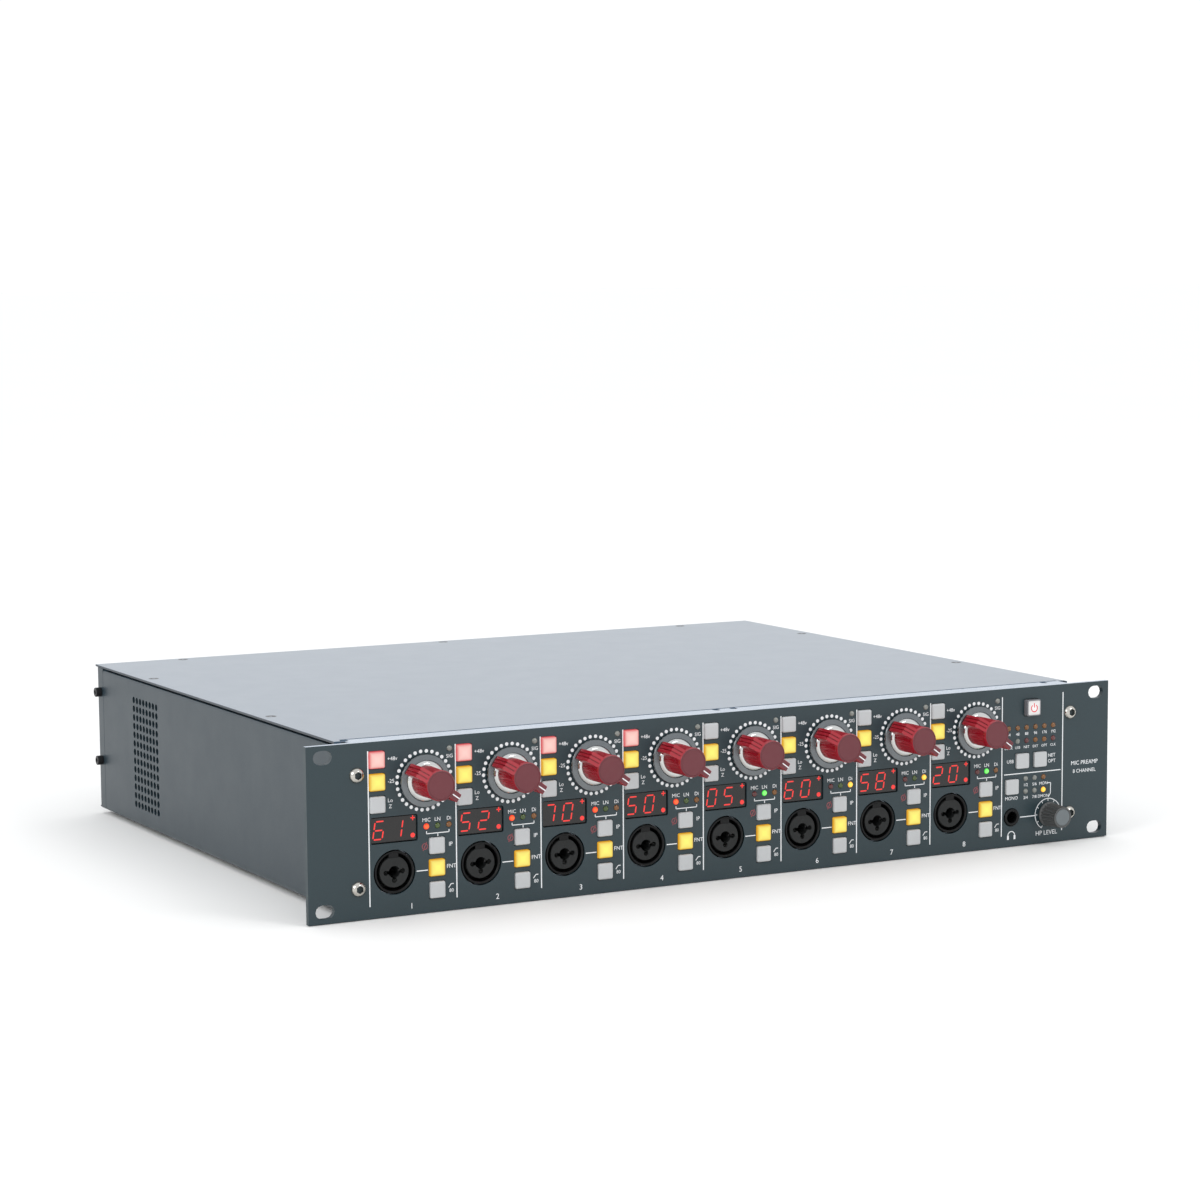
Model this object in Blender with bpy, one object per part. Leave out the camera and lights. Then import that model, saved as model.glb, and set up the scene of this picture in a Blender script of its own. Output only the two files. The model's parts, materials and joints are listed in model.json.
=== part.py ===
"""Eight-channel microphone preamp in a two-unit, nineteen-inch rack case.

Frame: +X to the right seen from the front, +Y to the rear, +Z up.  The origin is
the bottom centre of the bounding box, so Z = 0 is the front panel's lower edge.
The constants are millimetres.  Objects are made in metres.

Places on the front panel are given as on its drawing: x from the panel's left
edge, drop from its top edge, and depth behind its front face.
"""

import math

import bmesh
import bpy
from mathutils import Matrix

MM = 0.001

# Rack panel
PANEL_WIDTH = 482.6
PANEL_HEIGHT = 88.1
PANEL_THICKNESS = 3.0
SLOT_INSET = 8.75
SLOT_DROP = 5.95
SLOT_LENGTH = 10.0
SLOT_WIDTH = 7.0
RELIEF_INSET = 20.0
RELIEF = 0.2

# Case
SHEET = 1.5
GAP = 0.3
BEND = 2.5
CASE_INSET = 20.5
CASE_BOTTOM = 2.3
CASE_DEPTH = 365.5
LID_TOP = 87.8
LID_THICKNESS = 1.2
LID_FRONT = 11.5
LID_OVERHANG = 0.6
TOP_FLANGE = 12.0
REAR_RETURN = 10.6
SUB_PANEL_FLANGE = 15.0
SUB_PANEL_INSET = 4.0

# Channels
CHANNELS = 8
CHANNEL_PITCH = 47.25
FIRST_DIVIDER = 32.6
CAP = 8.4
CAP_PROUD = 1.3
BUTTON_PITCH = 11.15
LEFT_COLUMN = (4.7, 9.2)
RIGHT_COLUMN = (36.5, 54.6)
CARRIER_FRONT = 6.0
CARRIER_BACK = 7.5
SWITCH_FRONT = 9.3
WINDOW = (1.0, 37.8)
WINDOW_SIZE = (25.3, 13.4)
DISPLAY_RECESS = 1.4
GAIN = (30.1, 21.4)
SOCKET = (13.5, 65.9)
SOCKET_RADIUS = 10.7
SOCKET_LENGTH = 26.0
JACK_BORE = 3.3

# Gain knob, heights measured in front of the panel's face
KNOB_REACH = 20.0
KNOB_SKIRT_RADIUS = 13.0
KNOB_SKIRT_TOP = 2.6
KNOB_RING_RADIUS = 9.2
KNOB_BODY_RADIUS = 7.9
KNOB_WING_WIDTH = 4.6
KNOB_POINTER = 12.7
KNOB_TAIL = 12.0
KNOB_ANGLE = 33.0
SPINDLE_RADIUS = 3.0

# Right-hand section
POWER_BUTTON = (430.0, 11.4)
POWER_CAP = 9.0
POWER_PROUD = 3.0
SECTION_BUTTONS = {"usb_button": (424.0, 40.8), "network_button": (436.0, 40.8), "mono_button": (417.2, 54.8)}
PHONES_JACK = (417.3, 71.8)
PHONES_NUT_RADIUS = 4.8
LEVEL_DIAL = (442.0, 72.0)
LEVEL_REACH = 14.5

# Boards behind the panel
BOARD = 1.6
CONTROL_BOARD_DEPTH = 12.0

# Option card in the rear bay
CARD_WIDTH = 215.0
CARD_HEIGHT = 37.0
CARD_LEFT = 245.0
CARD_BOTTOM = 42.5
CARD_BOARD_WIDTH = 200.0
CARD_BOARD_LENGTH = 198.0
CARD_BOARD_TOP = 52.0
BAY_MARGIN = 4.0
BNC_REACH = 16.0
BNC_RADIUS = 4.8

# Mains inlet with its rocker
INLET_X = 70.0
INLET_BOTTOM = 16.0
INLET_SIZE = (31.0, 58.0)
INLET_BODY = (27.0, 50.0)
INLET_FLANGE = 3.0
INLET_CAVITY = (22.8, 16.4, 15.0)
INLET_CENTRE = 36.0
ROCKER_CENTRE = 59.0
ROCKER_SIZE = (18.0, 13.0)
ROCKER_TILT = 8.0

REAR_END = CASE_DEPTH + GAP + SHEET + BNC_REACH
FACE_Y = (KNOB_REACH - REAR_END) / 2
LID_UNDER = LID_TOP - LID_THICKNESS
CASE_TOP = LID_UNDER - GAP
CASE_FRONT = PANEL_THICKNESS + GAP
TRAY_REAR = CASE_DEPTH - REAR_RETURN - GAP
CARD_FRONT = CASE_DEPTH + GAP
CARD_BACK = CARD_FRONT + SHEET

SLATE = ((0.055, 0.075, 0.088), 0.5, 0.2)
CASE_GREY = ((0.11, 0.13, 0.15), 0.45, 0.3)
BLACK = ((0.012, 0.012, 0.013), 0.45, 0.0)
GREY_PLASTIC = ((0.35, 0.36, 0.36), 0.45, 0.0)
PALE_CAP = ((0.6, 0.6, 0.6), 0.35, 0.0)
KNOB_RED = ((0.30, 0.018, 0.03), 0.35, 0.0)
BOARD_GREEN = ((0.012, 0.11, 0.06), 0.45, 0.0)
NICKEL = ((0.6, 0.58, 0.54), 0.25, 1.0)
ZINC = ((0.55, 0.56, 0.57), 0.4, 1.0)
BLUE = ((0.01, 0.12, 0.45), 0.4, 0.0)


# ---------------------------------------------------------------- places

def across(x):
    """Frame X of a distance from the panel's left edge."""
    return x - PANEL_WIDTH / 2


def up(drop):
    """Frame Z of a drop from the panel's top edge."""
    return PANEL_HEIGHT - drop


def back(depth):
    """Frame Y of a depth behind the panel's front face."""
    return FACE_Y + depth


def channel_place(channel, place):
    """Panel x and drop of a place given from a channel's left divider."""
    return FIRST_DIVIDER + CHANNEL_PITCH * channel + place[0], place[1]


def every_channel(place):
    """The same place in each channel."""
    return [channel_place(channel, place) for channel in range(CHANNELS)]


# ---------------------------------------------------------------- outlines

def arc(centre, radius, start, sweep, steps):
    """Points along an arc, angles in degrees."""
    points = []
    for step in range(steps + 1):
        angle = math.radians(start + sweep * step / steps)
        points.append((centre[0] + radius * math.cos(angle), centre[1] + radius * math.sin(angle)))
    return points


def circle(centre, radius, steps):
    """A closed polygon whose flats face the axes."""
    return arc(centre, radius, 180 / steps, 360 - 360 / steps, steps - 1)


def rectangle(centre, width, height):
    """Corners of a rectangle, anticlockwise."""
    u, v = centre
    return [(u - width / 2, v - height / 2), (u + width / 2, v - height / 2),
            (u + width / 2, v + height / 2), (u - width / 2, v + height / 2)]


def obround(centre, length, width, steps):
    """A slot's outline, long side along the first axis."""
    reach = (length - width) / 2
    right = arc((centre[0] + reach, centre[1]), width / 2, -90, 180, steps)
    left = arc((centre[0] - reach, centre[1]), width / 2, 90, 180, steps)
    return right + left


def folded_channel(low, high, base, tip, lips):
    """A sheet folded up at both ends, with optional inward lips along the tips.

    low and high are its outer sides, base its outer floor and tip its outer top.
    """
    side = 1 if tip > base else -1
    inner = BEND - SHEET
    outer_corner = arc((high - BEND, base + side * BEND), BEND, -90 * side, 90 * side, 3)
    inner_corner = arc((high - BEND, base + side * BEND), inner, -90 * side, 90 * side, 3)
    if lips:
        outer_top = arc((high - BEND, tip - side * BEND), BEND, 0, 90 * side, 3)
        inner_top = arc((high - BEND, tip - side * BEND), inner, 0, 90 * side, 3)
        end = high - lips
        half = outer_corner + outer_top + [(end, tip), (end, tip - side * SHEET)]
        half += inner_top[::-1] + inner_corner[::-1]
    else:
        half = outer_corner + [(high, tip), (high - SHEET, tip)] + inner_corner[::-1]
    mirrored = [(low + high - u, v) for u, v in half[::-1]]
    return half + mirrored


# ---------------------------------------------------------------- solids

def add_box(bm, x, y, z):
    """A box between three (low, high) pairs."""
    spans = [high - low for low, high in (x, y, z)]
    middle = [(low + high) / 2 for low, high in (x, y, z)]
    bmesh.ops.create_cube(bm, size=1, matrix=Matrix.Translation(middle) @ Matrix.Diagonal((*spans, 1)))


def add_prism(bm, outline, axis, low, high):
    """A closed outline carried along an axis between two positions."""
    def point(u, v, w):
        return {"X": (w, u, v), "Y": (u, w, v), "Z": (u, v, w)}[axis]

    rings = [[bm.verts.new(point(u, v, w)) for u, v in outline] for w in (low, high)]
    for ring in rings:
        bm.faces.new(ring)
    for index in range(len(outline)):
        after = (index + 1) % len(outline)
        bm.faces.new((rings[0][index], rings[0][after], rings[1][after], rings[1][index]))


def add_turned(bm, profile, x, z, steps):
    """A profile of (radius, Y) points turned about an axis along Y."""
    verts = [bm.verts.new((x + radius, y, z)) for radius, y in profile]
    edges = [bm.edges.new(pair) for pair in zip(verts, verts[1:])]
    bmesh.ops.spin(bm, geom=verts + edges, cent=(x, 0, z), axis=(0, 1, 0), angle=math.tau, steps=steps,
                   use_merge=True)


def start():
    """An empty mesh to build in."""
    return bmesh.new()


def make(name, bm, look, origin=(0, 0, 0), smooth=False):
    """Close the mesh, turn it into metres and put it in the scene as one object."""
    bmesh.ops.remove_doubles(bm, verts=bm.verts, dist=0.001)
    bmesh.ops.recalc_face_normals(bm, faces=bm.faces)
    bmesh.ops.translate(bm, verts=bm.verts, vec=[-value for value in origin])
    bmesh.ops.scale(bm, verts=bm.verts, vec=(MM, MM, MM))
    mesh = bpy.data.meshes.new(name)
    bm.to_mesh(mesh)
    bm.free()
    if smooth:
        mesh.shade_smooth()
        mesh.set_sharp_from_angle(angle=math.radians(35))
    thing = bpy.data.objects.new(name, mesh)
    thing.location = [value * MM for value in origin]
    bpy.context.scene.collection.objects.link(thing)
    if look:
        thing.data.materials.append(material(name, *look))
    return thing


def material(name, colour, roughness, metallic):
    """A Principled material for one sub-part."""
    made = bpy.data.materials.new(name)
    made.use_nodes = True
    shader = made.node_tree.nodes["Principled BSDF"]
    shader.inputs["Base Color"].default_value = (*colour, 1)
    shader.inputs["Roughness"].default_value = roughness
    shader.inputs["Metallic"].default_value = metallic
    return made


def combine(thing, tool_mesh, operation):
    """Cut or join a second mesh with a Boolean and keep it as a hidden guide."""
    tool = make(f"{thing.name}_{operation.lower()}", tool_mesh, None)
    tool.hide_render = True
    tool.display_type = "WIRE"
    modifier = thing.modifiers.new(operation.title(), "BOOLEAN")
    modifier.operation = operation
    modifier.solver = "EXACT"
    modifier.use_self = operation == "UNION"
    modifier.object = tool


# ---------------------------------------------------------------- panels

def button_places():
    """Panel places of every square button cap outside the power button."""
    places = []
    for column in (LEFT_COLUMN, RIGHT_COLUMN):
        for x, drop in every_channel(column):
            places += [(x, drop + BUTTON_PITCH * row) for row in range(3)]
    return places + list(SECTION_BUTTONS.values())


def cut_front(bm, depth_low, depth_high, hole_steps):
    """Cutters for what passes through the panel and the sub-panel alike."""
    low, high = back(depth_low), back(depth_high)
    for x, drop in every_channel(WINDOW):
        centre = (across(x + WINDOW_SIZE[0] / 2), up(drop + WINDOW_SIZE[1] / 2))
        add_prism(bm, rectangle(centre, *WINDOW_SIZE), "Y", low, high)
    for x, drop in every_channel(SOCKET):
        add_prism(bm, circle((across(x), up(drop)), SOCKET_RADIUS + 2 * GAP, hole_steps), "Y", low, high)
    for x, drop in every_channel(GAIN) + [LEVEL_DIAL]:
        add_prism(bm, circle((across(x), up(drop)), SPINDLE_RADIUS + 2 * GAP, 8), "Y", low, high)
    x, drop = PHONES_JACK
    add_prism(bm, circle((across(x), up(drop)), PHONES_NUT_RADIUS + GAP, 16), "Y", low, high)
    x, drop = POWER_BUTTON
    side = POWER_CAP + 2 * GAP
    add_prism(bm, rectangle((across(x), up(drop)), side, side), "Y", low, high)


def front_panel():
    """The panel with its openings and slots; its back is a little thinner between the two ears."""
    bm = start()
    add_box(bm, (across(0), across(PANEL_WIDTH)), (back(0), back(PANEL_THICKNESS)), (0, PANEL_HEIGHT))
    panel = make("front_panel", bm, SLATE)
    holes = start()
    cut_front(holes, -1, PANEL_THICKNESS + 1, 20)
    side = CAP + 2 * GAP
    for x, drop in button_places():
        square = rectangle((across(x), up(drop)), side, side)
        add_prism(holes, square, "Y", back(-1), back(PANEL_THICKNESS + 1))
    for x in (SLOT_INSET, PANEL_WIDTH - SLOT_INSET):
        for drop in (SLOT_DROP, PANEL_HEIGHT - SLOT_DROP):
            slot = obround((across(x), up(drop)), SLOT_LENGTH, SLOT_WIDTH, 6)
            add_prism(holes, slot, "Y", back(-1), back(PANEL_THICKNESS + 1))
    combine(panel, holes, "DIFFERENCE")
    relief = start()
    edge = across(RELIEF_INSET)
    depth = (back(PANEL_THICKNESS - RELIEF), back(PANEL_THICKNESS + 1))
    add_box(relief, (edge, -edge), depth, (-1, PANEL_HEIGHT + 1))
    combine(panel, relief, "DIFFERENCE")


def column_outline(column, margin):
    """Outlines that clear the three caps of each channel's button column."""
    height = 2 * BUTTON_PITCH + CAP + 2 * margin
    return [rectangle((across(x), up(drop + BUTTON_PITCH)), CAP + 2 * margin, height)
            for x, drop in every_channel(column)]


def sub_panel():
    """The folded steel plate behind the panel, with the strip that the lid meets."""
    front, rear = back(CASE_FRONT), back(CASE_FRONT + SHEET)
    low = CASE_BOTTOM + SHEET + GAP
    inner = SHEET / 2
    bend_centre = (front + inner + SHEET, CASE_TOP - inner - SHEET)
    outline = [(rear, low), (front, low)]
    outline += arc(bend_centre, inner + SHEET, 180, -90, 3)
    flange_end = back(CASE_FRONT + SUB_PANEL_FLANGE)
    outline += [(flange_end, CASE_TOP), (flange_end, CASE_TOP - SHEET)]
    outline += arc(bend_centre, inner, 90, 90, 3)
    bm = start()
    edge = across(CASE_INSET + SUB_PANEL_INSET)
    add_prism(bm, outline, "X", edge, -edge)
    plate = make("sub_panel", bm, CASE_GREY)
    holes = start()
    cut_front(holes, PANEL_THICKNESS - 1, CASE_FRONT + SHEET + 1, 12)
    low, high = back(PANEL_THICKNESS - 1), back(CASE_FRONT + SHEET + 1)
    for outline in column_outline(LEFT_COLUMN, GAP) + column_outline(RIGHT_COLUMN, GAP):
        add_prism(holes, outline, "Y", low, high)
    for x, drop in SECTION_BUTTONS.values():
        add_prism(holes, rectangle((across(x), up(drop)), CAP + 2 * GAP, CAP + 2 * GAP), "Y", low, high)
    combine(plate, holes, "DIFFERENCE")


# ---------------------------------------------------------------- case

def case_tray():
    """Base and sides folded from one sheet, with lips that carry the lid."""
    left, right = across(CASE_INSET), -across(CASE_INSET)
    bm = start()
    outline = folded_channel(left, right, CASE_BOTTOM, CASE_TOP, TOP_FLANGE)
    add_prism(bm, outline, "Y", back(CASE_FRONT), back(CASE_DEPTH))
    tray = make("case_tray", bm, CASE_GREY)
    notches = start()
    floor = CASE_BOTTOM + SHEET + GAP / 2
    add_box(notches, (left - 1, right + 1), (back(TRAY_REAR), back(CASE_DEPTH + 1)), (floor, CASE_TOP + 1))
    lip_bottom = CASE_TOP - BEND - GAP
    flange_end = back(CASE_FRONT + SUB_PANEL_FLANGE + GAP)
    add_box(notches, (left + SHEET + GAP, right - SHEET - GAP), (back(CASE_FRONT - 1), flange_end),
            (lip_bottom, CASE_TOP + 1))
    combine(tray, notches, "DIFFERENCE")


def top_cover():
    edge = across(CASE_INSET - LID_OVERHANG)
    bm = start()
    add_box(bm, (edge, -edge), (back(LID_FRONT), back(CASE_DEPTH)), (LID_UNDER, LID_TOP))
    make("top_cover", bm, CASE_GREY)


def bay_outline(margin):
    """The card bay's mouth in the rear panel, seen in X and Z."""
    centre = (across(CARD_LEFT + CARD_WIDTH / 2), CARD_BOTTOM + CARD_HEIGHT / 2)
    return rectangle(centre, CARD_WIDTH - 2 * margin, CARD_HEIGHT - 2 * margin)


def multiway_places():
    """Centres of the multiway connectors, in a row below the card bay."""
    spacing = 66.0
    middle = across(CARD_LEFT + CARD_WIDTH / 2)
    return [(middle + spacing * step, 22.0) for step in (-1, 0, 1)]


def rear_panel():
    left, right = across(CASE_INSET), -across(CASE_INSET)
    outline = folded_channel(left, right, back(CASE_DEPTH), back(CASE_DEPTH - REAR_RETURN), 0)
    bm = start()
    add_prism(bm, outline, "Z", CASE_BOTTOM + SHEET + GAP, CASE_TOP)
    panel = make("rear_panel", bm, CASE_GREY)
    holes = start()
    low, high = back(CASE_DEPTH - SHEET - 1), back(CASE_DEPTH + 1)
    add_prism(holes, bay_outline(BAY_MARGIN), "Y", low, high)
    inlet = (across(INLET_X), INLET_BOTTOM + INLET_SIZE[1] / 2)
    add_prism(holes, rectangle(inlet, INLET_BODY[0] + 2 * GAP, INLET_BODY[1] + 2 * GAP), "Y", low, high)
    for place in multiway_places():
        add_prism(holes, rectangle(place, 42, 11), "Y", low, high)
    combine(panel, holes, "DIFFERENCE")


# ---------------------------------------------------------------- front controls

def knob_outline(centre, angle):
    """The winged pointer body seen from the front, pointer along +X before it is turned."""
    half = KNOB_WING_WIDTH / 2
    meet = math.degrees(math.asin(half / KNOB_BODY_RADIUS))
    outline = [(KNOB_POINTER, -half), (KNOB_POINTER, half)]
    outline += arc((0, 0), KNOB_BODY_RADIUS, meet, 180 - 2 * meet, 8)
    outline += [(-KNOB_TAIL, half), (-KNOB_TAIL, -half)]
    outline += arc((0, 0), KNOB_BODY_RADIUS, 180 + meet, 180 - 2 * meet, 8)
    cos, sin = math.cos(math.radians(angle)), math.sin(math.radians(angle))
    return [(centre[0] + u * cos - v * sin, centre[1] + u * sin + v * cos) for u, v in outline]


def gain_knob(channel):
    """Skirt, polished ring and spindle turned in one, joined to the winged body."""
    x, drop = channel_place(channel, GAIN)
    centre = (across(x), up(drop))
    skirt_back = back(-2 * GAP)
    skirt_top = back(-KNOB_SKIRT_TOP)
    ring_top = skirt_top - 2 * GAP
    spindle_end = back(CARRIER_FRONT - GAP)
    profile = [(0, ring_top), (KNOB_RING_RADIUS, ring_top), (KNOB_RING_RADIUS, skirt_top),
               (KNOB_SKIRT_RADIUS, skirt_top), (KNOB_SKIRT_RADIUS, skirt_back), (SPINDLE_RADIUS, skirt_back),
               (SPINDLE_RADIUS, spindle_end), (0, spindle_end)]
    bm = start()
    add_turned(bm, profile, *centre, 20)
    origin = (centre[0], back(0), centre[1])
    knob = make(f"gain_knob_{channel + 1}", bm, KNOB_RED, origin)
    body = start()
    add_prism(body, knob_outline(centre, -KNOB_ANGLE), "Y", back(-KNOB_REACH), skirt_top + 1)
    combine(knob, body, "UNION")


def button_column(name, x, drop):
    """Three square caps on one carrier, as a comb seen from the side."""
    front, carrier, rear = back(-CAP_PROUD), back(CARRIER_FRONT), back(CARRIER_BACK)
    outline = []
    for row in range(3):
        centre = up(drop + BUTTON_PITCH * row)
        outline += [(carrier, centre + CAP / 2), (front, centre + CAP / 2),
                    (front, centre - CAP / 2), (carrier, centre - CAP / 2)]
    outline[0] = (rear, outline[0][1])
    outline[-1] = (rear, outline[-1][1])
    bm = start()
    add_prism(bm, outline, "X", across(x - CAP / 2), across(x + CAP / 2))
    make(name, bm, PALE_CAP, (across(x), back(0), up(drop + BUTTON_PITCH)))


def push_button(name, place, side, proud):
    """A square cap on a wider foot that keeps it behind the panel."""
    x, drop = across(place[0]), up(place[1])
    bm = start()
    half, foot = side / 2, side / 2 + 1.2
    outline = [(x - half, back(-proud)), (x + half, back(-proud)), (x + half, back(CARRIER_FRONT)),
               (x + foot, back(CARRIER_FRONT)), (x + foot, back(CARRIER_BACK)), (x - foot, back(CARRIER_BACK)),
               (x - foot, back(CARRIER_FRONT)), (x - half, back(CARRIER_FRONT))]
    add_prism(bm, outline, "Z", drop - half, drop + half)
    make(name, bm, PALE_CAP, (x, back(0), drop))


def headphone_level_knob():
    """Tapered grey knob with its spindle."""
    x, z = across(LEVEL_DIAL[0]), up(LEVEL_DIAL[1])
    profile = [(0, back(-LEVEL_REACH)), (4.6, back(-LEVEL_REACH)), (6.0, back(-LEVEL_REACH + 1.5)),
               (6.8, back(-2)), (6.8, back(-2 * GAP)), (SPINDLE_RADIUS, back(-2 * GAP)),
               (SPINDLE_RADIUS, back(CARRIER_FRONT - GAP)), (0, back(CARRIER_FRONT - GAP))]
    bm = start()
    add_turned(bm, profile, x, z, 20)
    make("headphone_level_knob", bm, GREY_PLASTIC, (x, back(0), z), smooth=True)


def combo_socket(channel):
    """Jack bore inside an insert, inside the round groove that takes an XLR plug's barrel."""
    x, drop = channel_place(channel, SOCKET)
    face, rear = back(0), back(SOCKET_LENGTH)
    bore_end = back(SOCKET_LENGTH - 4)
    profile = [(0, bore_end), (JACK_BORE, bore_end), (JACK_BORE, face), (7.9, face), (7.9, back(12)),
               (9.6, back(12)), (9.6, face), (SOCKET_RADIUS, face), (SOCKET_RADIUS, rear), (0, rear)]
    bm = start()
    add_turned(bm, profile, across(x), up(drop), 20)
    make(f"combo_socket_{channel + 1}", bm, BLACK, (across(x), face, up(drop)), smooth=True)


def headphone_jack():
    """Threaded bush with its jack bore, and the body behind it."""
    x, z = across(PHONES_JACK[0]), up(PHONES_JACK[1])
    profile = [(0, back(18)), (JACK_BORE, back(18)), (JACK_BORE, back(-1)), (PHONES_NUT_RADIUS, back(-1)),
               (PHONES_NUT_RADIUS, back(22)), (0, back(22))]
    bm = start()
    add_turned(bm, profile, x, z, 16)
    make("headphone_jack", bm, BLACK, (x, back(0), z), smooth=True)


# ---------------------------------------------------------------- boards

def control_board():
    """The board behind the panel with its encoders, switches and numeric displays."""
    low, high = back(CONTROL_BOARD_DEPTH), back(CONTROL_BOARD_DEPTH + BOARD)
    inset = CASE_INSET + SUB_PANEL_INSET + 3
    bm = start()
    add_box(bm, (across(inset), -across(inset)), (low, high), (CASE_BOTTOM + 5, CASE_TOP - 5))
    board = make("control_board", bm, BOARD_GREEN)
    holes = start()
    for x, drop in every_channel(SOCKET):
        add_prism(holes, circle((across(x), up(drop)), SOCKET_RADIUS + 2 * GAP, 12), "Y", low - 1, high + 1)
    x, drop = PHONES_JACK
    add_prism(holes, circle((across(x), up(drop)), PHONES_NUT_RADIUS + GAP, 12), "Y", low - 1, high + 1)
    combine(board, holes, "DIFFERENCE")
    parts = start()
    seat = low + BOARD / 2
    for x, drop in every_channel(WINDOW):
        width, height = WINDOW_SIZE
        add_box(parts, (across(x + GAP), across(x + width - GAP)), (back(DISPLAY_RECESS), seat),
                (up(drop + height - GAP), up(drop + GAP)))
    for x, drop in every_channel(GAIN) + [LEVEL_DIAL]:
        width, height = (across(x - 6), across(x + 6)), (up(drop + 6), up(drop - 6))
        add_box(parts, width, (back(CARRIER_FRONT), seat), height)
    for x, drop in button_places() + [POWER_BUTTON]:
        width, height = (across(x - 3), across(x + 3)), (up(drop + 3), up(drop - 3))
        add_box(parts, width, (back(SWITCH_FRONT), seat), height)
    combine(board, parts, "UNION")


def main_board():
    """The preamplifier board on its pillars, with a transformer pair for each channel."""
    x = (across(40), across(442))
    y = (back(55), back(185))
    top = 12.0
    bm = start()
    add_box(bm, x, y, (top - BOARD, top))
    board = make("main_board", bm, BOARD_GREEN)
    parts = start()
    for pillar_x in (x[0] + 6, (x[0] + x[1]) / 2, x[1] - 6):
        for pillar_y in (y[0] + 6, y[1] - 6):
            pillar = circle((pillar_x, pillar_y), 3, 8)
            add_prism(parts, pillar, "Z", CASE_BOTTOM + SHEET + GAP, top - BOARD / 2)
    for channel in range(CHANNELS):
        centre = across(66 + 50 * channel)
        add_prism(parts, circle((centre, back(80)), 11, 12), "Z", top - BOARD / 2, top + 26)
        add_box(parts, (centre - 11, centre + 11), (back(110), back(132)), (top - BOARD / 2, top + 22))
        add_box(parts, (centre - 9, centre + 9), (back(150), back(162)), (top - BOARD / 2, top + 10))
    combine(board, parts, "UNION")


def power_supply():
    """Enclosed supply module on the case floor."""
    bm = start()
    add_box(bm, (across(32), across(150)), (back(215), back(335)), (CASE_BOTTOM + SHEET + GAP, 48))
    make("power_supply", bm, ZINC)


# ---------------------------------------------------------------- rear connectors

def mains_inlet():
    """Appliance inlet with its contact blades, in one moulding with the rocker's well."""
    x = across(INLET_X)
    flange_rear = back(CARD_FRONT + INLET_FLANGE)
    middle = INLET_BOTTOM + INLET_SIZE[1] / 2
    bm = start()
    add_prism(bm, rectangle((x, middle), *INLET_SIZE), "Y", back(CARD_FRONT), flange_rear)
    inlet = make("mains_inlet", bm, BLACK)
    body = start()
    add_prism(body, rectangle((x, middle), *INLET_BODY), "Y", back(CARD_FRONT - 22), back(CARD_FRONT + 1))
    combine(inlet, body, "UNION")
    width, height, depth = INLET_CAVITY
    wells = start()
    add_prism(wells, rectangle((x, INLET_CENTRE), width, height), "Y", flange_rear - depth, flange_rear + 1)
    well = rectangle((x, ROCKER_CENTRE), ROCKER_SIZE[0] + 1, ROCKER_SIZE[1] + 1.6)
    add_prism(wells, well, "Y", flange_rear - 7, flange_rear + 1)
    combine(inlet, wells, "DIFFERENCE")
    blades = start()
    for blade_x, blade_z in ((x - 7, INLET_CENTRE - 2), (x + 7, INLET_CENTRE - 2), (x, INLET_CENTRE + 2)):
        blade = rectangle((blade_x, blade_z), 2, 4)
        add_prism(blades, blade, "Y", flange_rear - depth - 1, flange_rear - 5.5)
    combine(inlet, blades, "UNION")


def mains_rocker():
    """Rocker with its two shallow slopes, resting on one stop."""
    width, height = ROCKER_SIZE
    half = height / 2
    outline = [(-2.5, -half + 1), (0.6, -half), (1.4, 0), (0.6, half), (-2.5, half - 1)]
    bm = start()
    add_prism(bm, outline, "X", -width / 2, width / 2)
    rocker = make("mains_rocker", bm, BLACK)
    axis = (across(INLET_X), back(CARD_FRONT + INLET_FLANGE), ROCKER_CENTRE)
    rocker.location = [value * MM for value in axis]
    rocker.rotation_euler.x = math.radians(-ROCKER_TILT)


def multiway_connector(number, place):
    """Twenty-five way connector: flange outside the panel, D-shaped shell and body."""
    x, z = place
    shell = [(x - 19, z - 4), (x + 19, z - 4), (x + 20, z + 4), (x - 20, z + 4)]
    flange = back(CARD_FRONT)
    bm = start()
    add_prism(bm, rectangle((x, z), 53, 12.5), "Y", flange, flange + 1)
    connector = make(f"multiway_connector_{number}", bm, ZINC)
    parts = start()
    add_prism(parts, shell, "Y", flange - 10, flange + 6)
    for screw_x in (x - 23.5, x + 23.5):
        add_prism(parts, circle((screw_x, z), 2.4, 6), "Y", flange + 0.5, flange + 5)
    combine(connector, parts, "UNION")


# ---------------------------------------------------------------- option card

def card_x(distance):
    """Frame X of a distance from the card plate's left end, seen from behind the unit."""
    return across(CARD_LEFT + CARD_WIDTH - distance)


BNC_PLACE = (37.0, 62.0)
USB_SIZE = (12.0, 16.0, 10.8)
USB_DISTANCE = 83.0
OPTICAL_SIZE = (9.8, 13.0, 9.6)
OPTICALS = {"optical_output_1": 107.0, "optical_output_2": 120.0, "optical_input": 146.0}
SYNC_PLACE = (169.0, 56.0)


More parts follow.
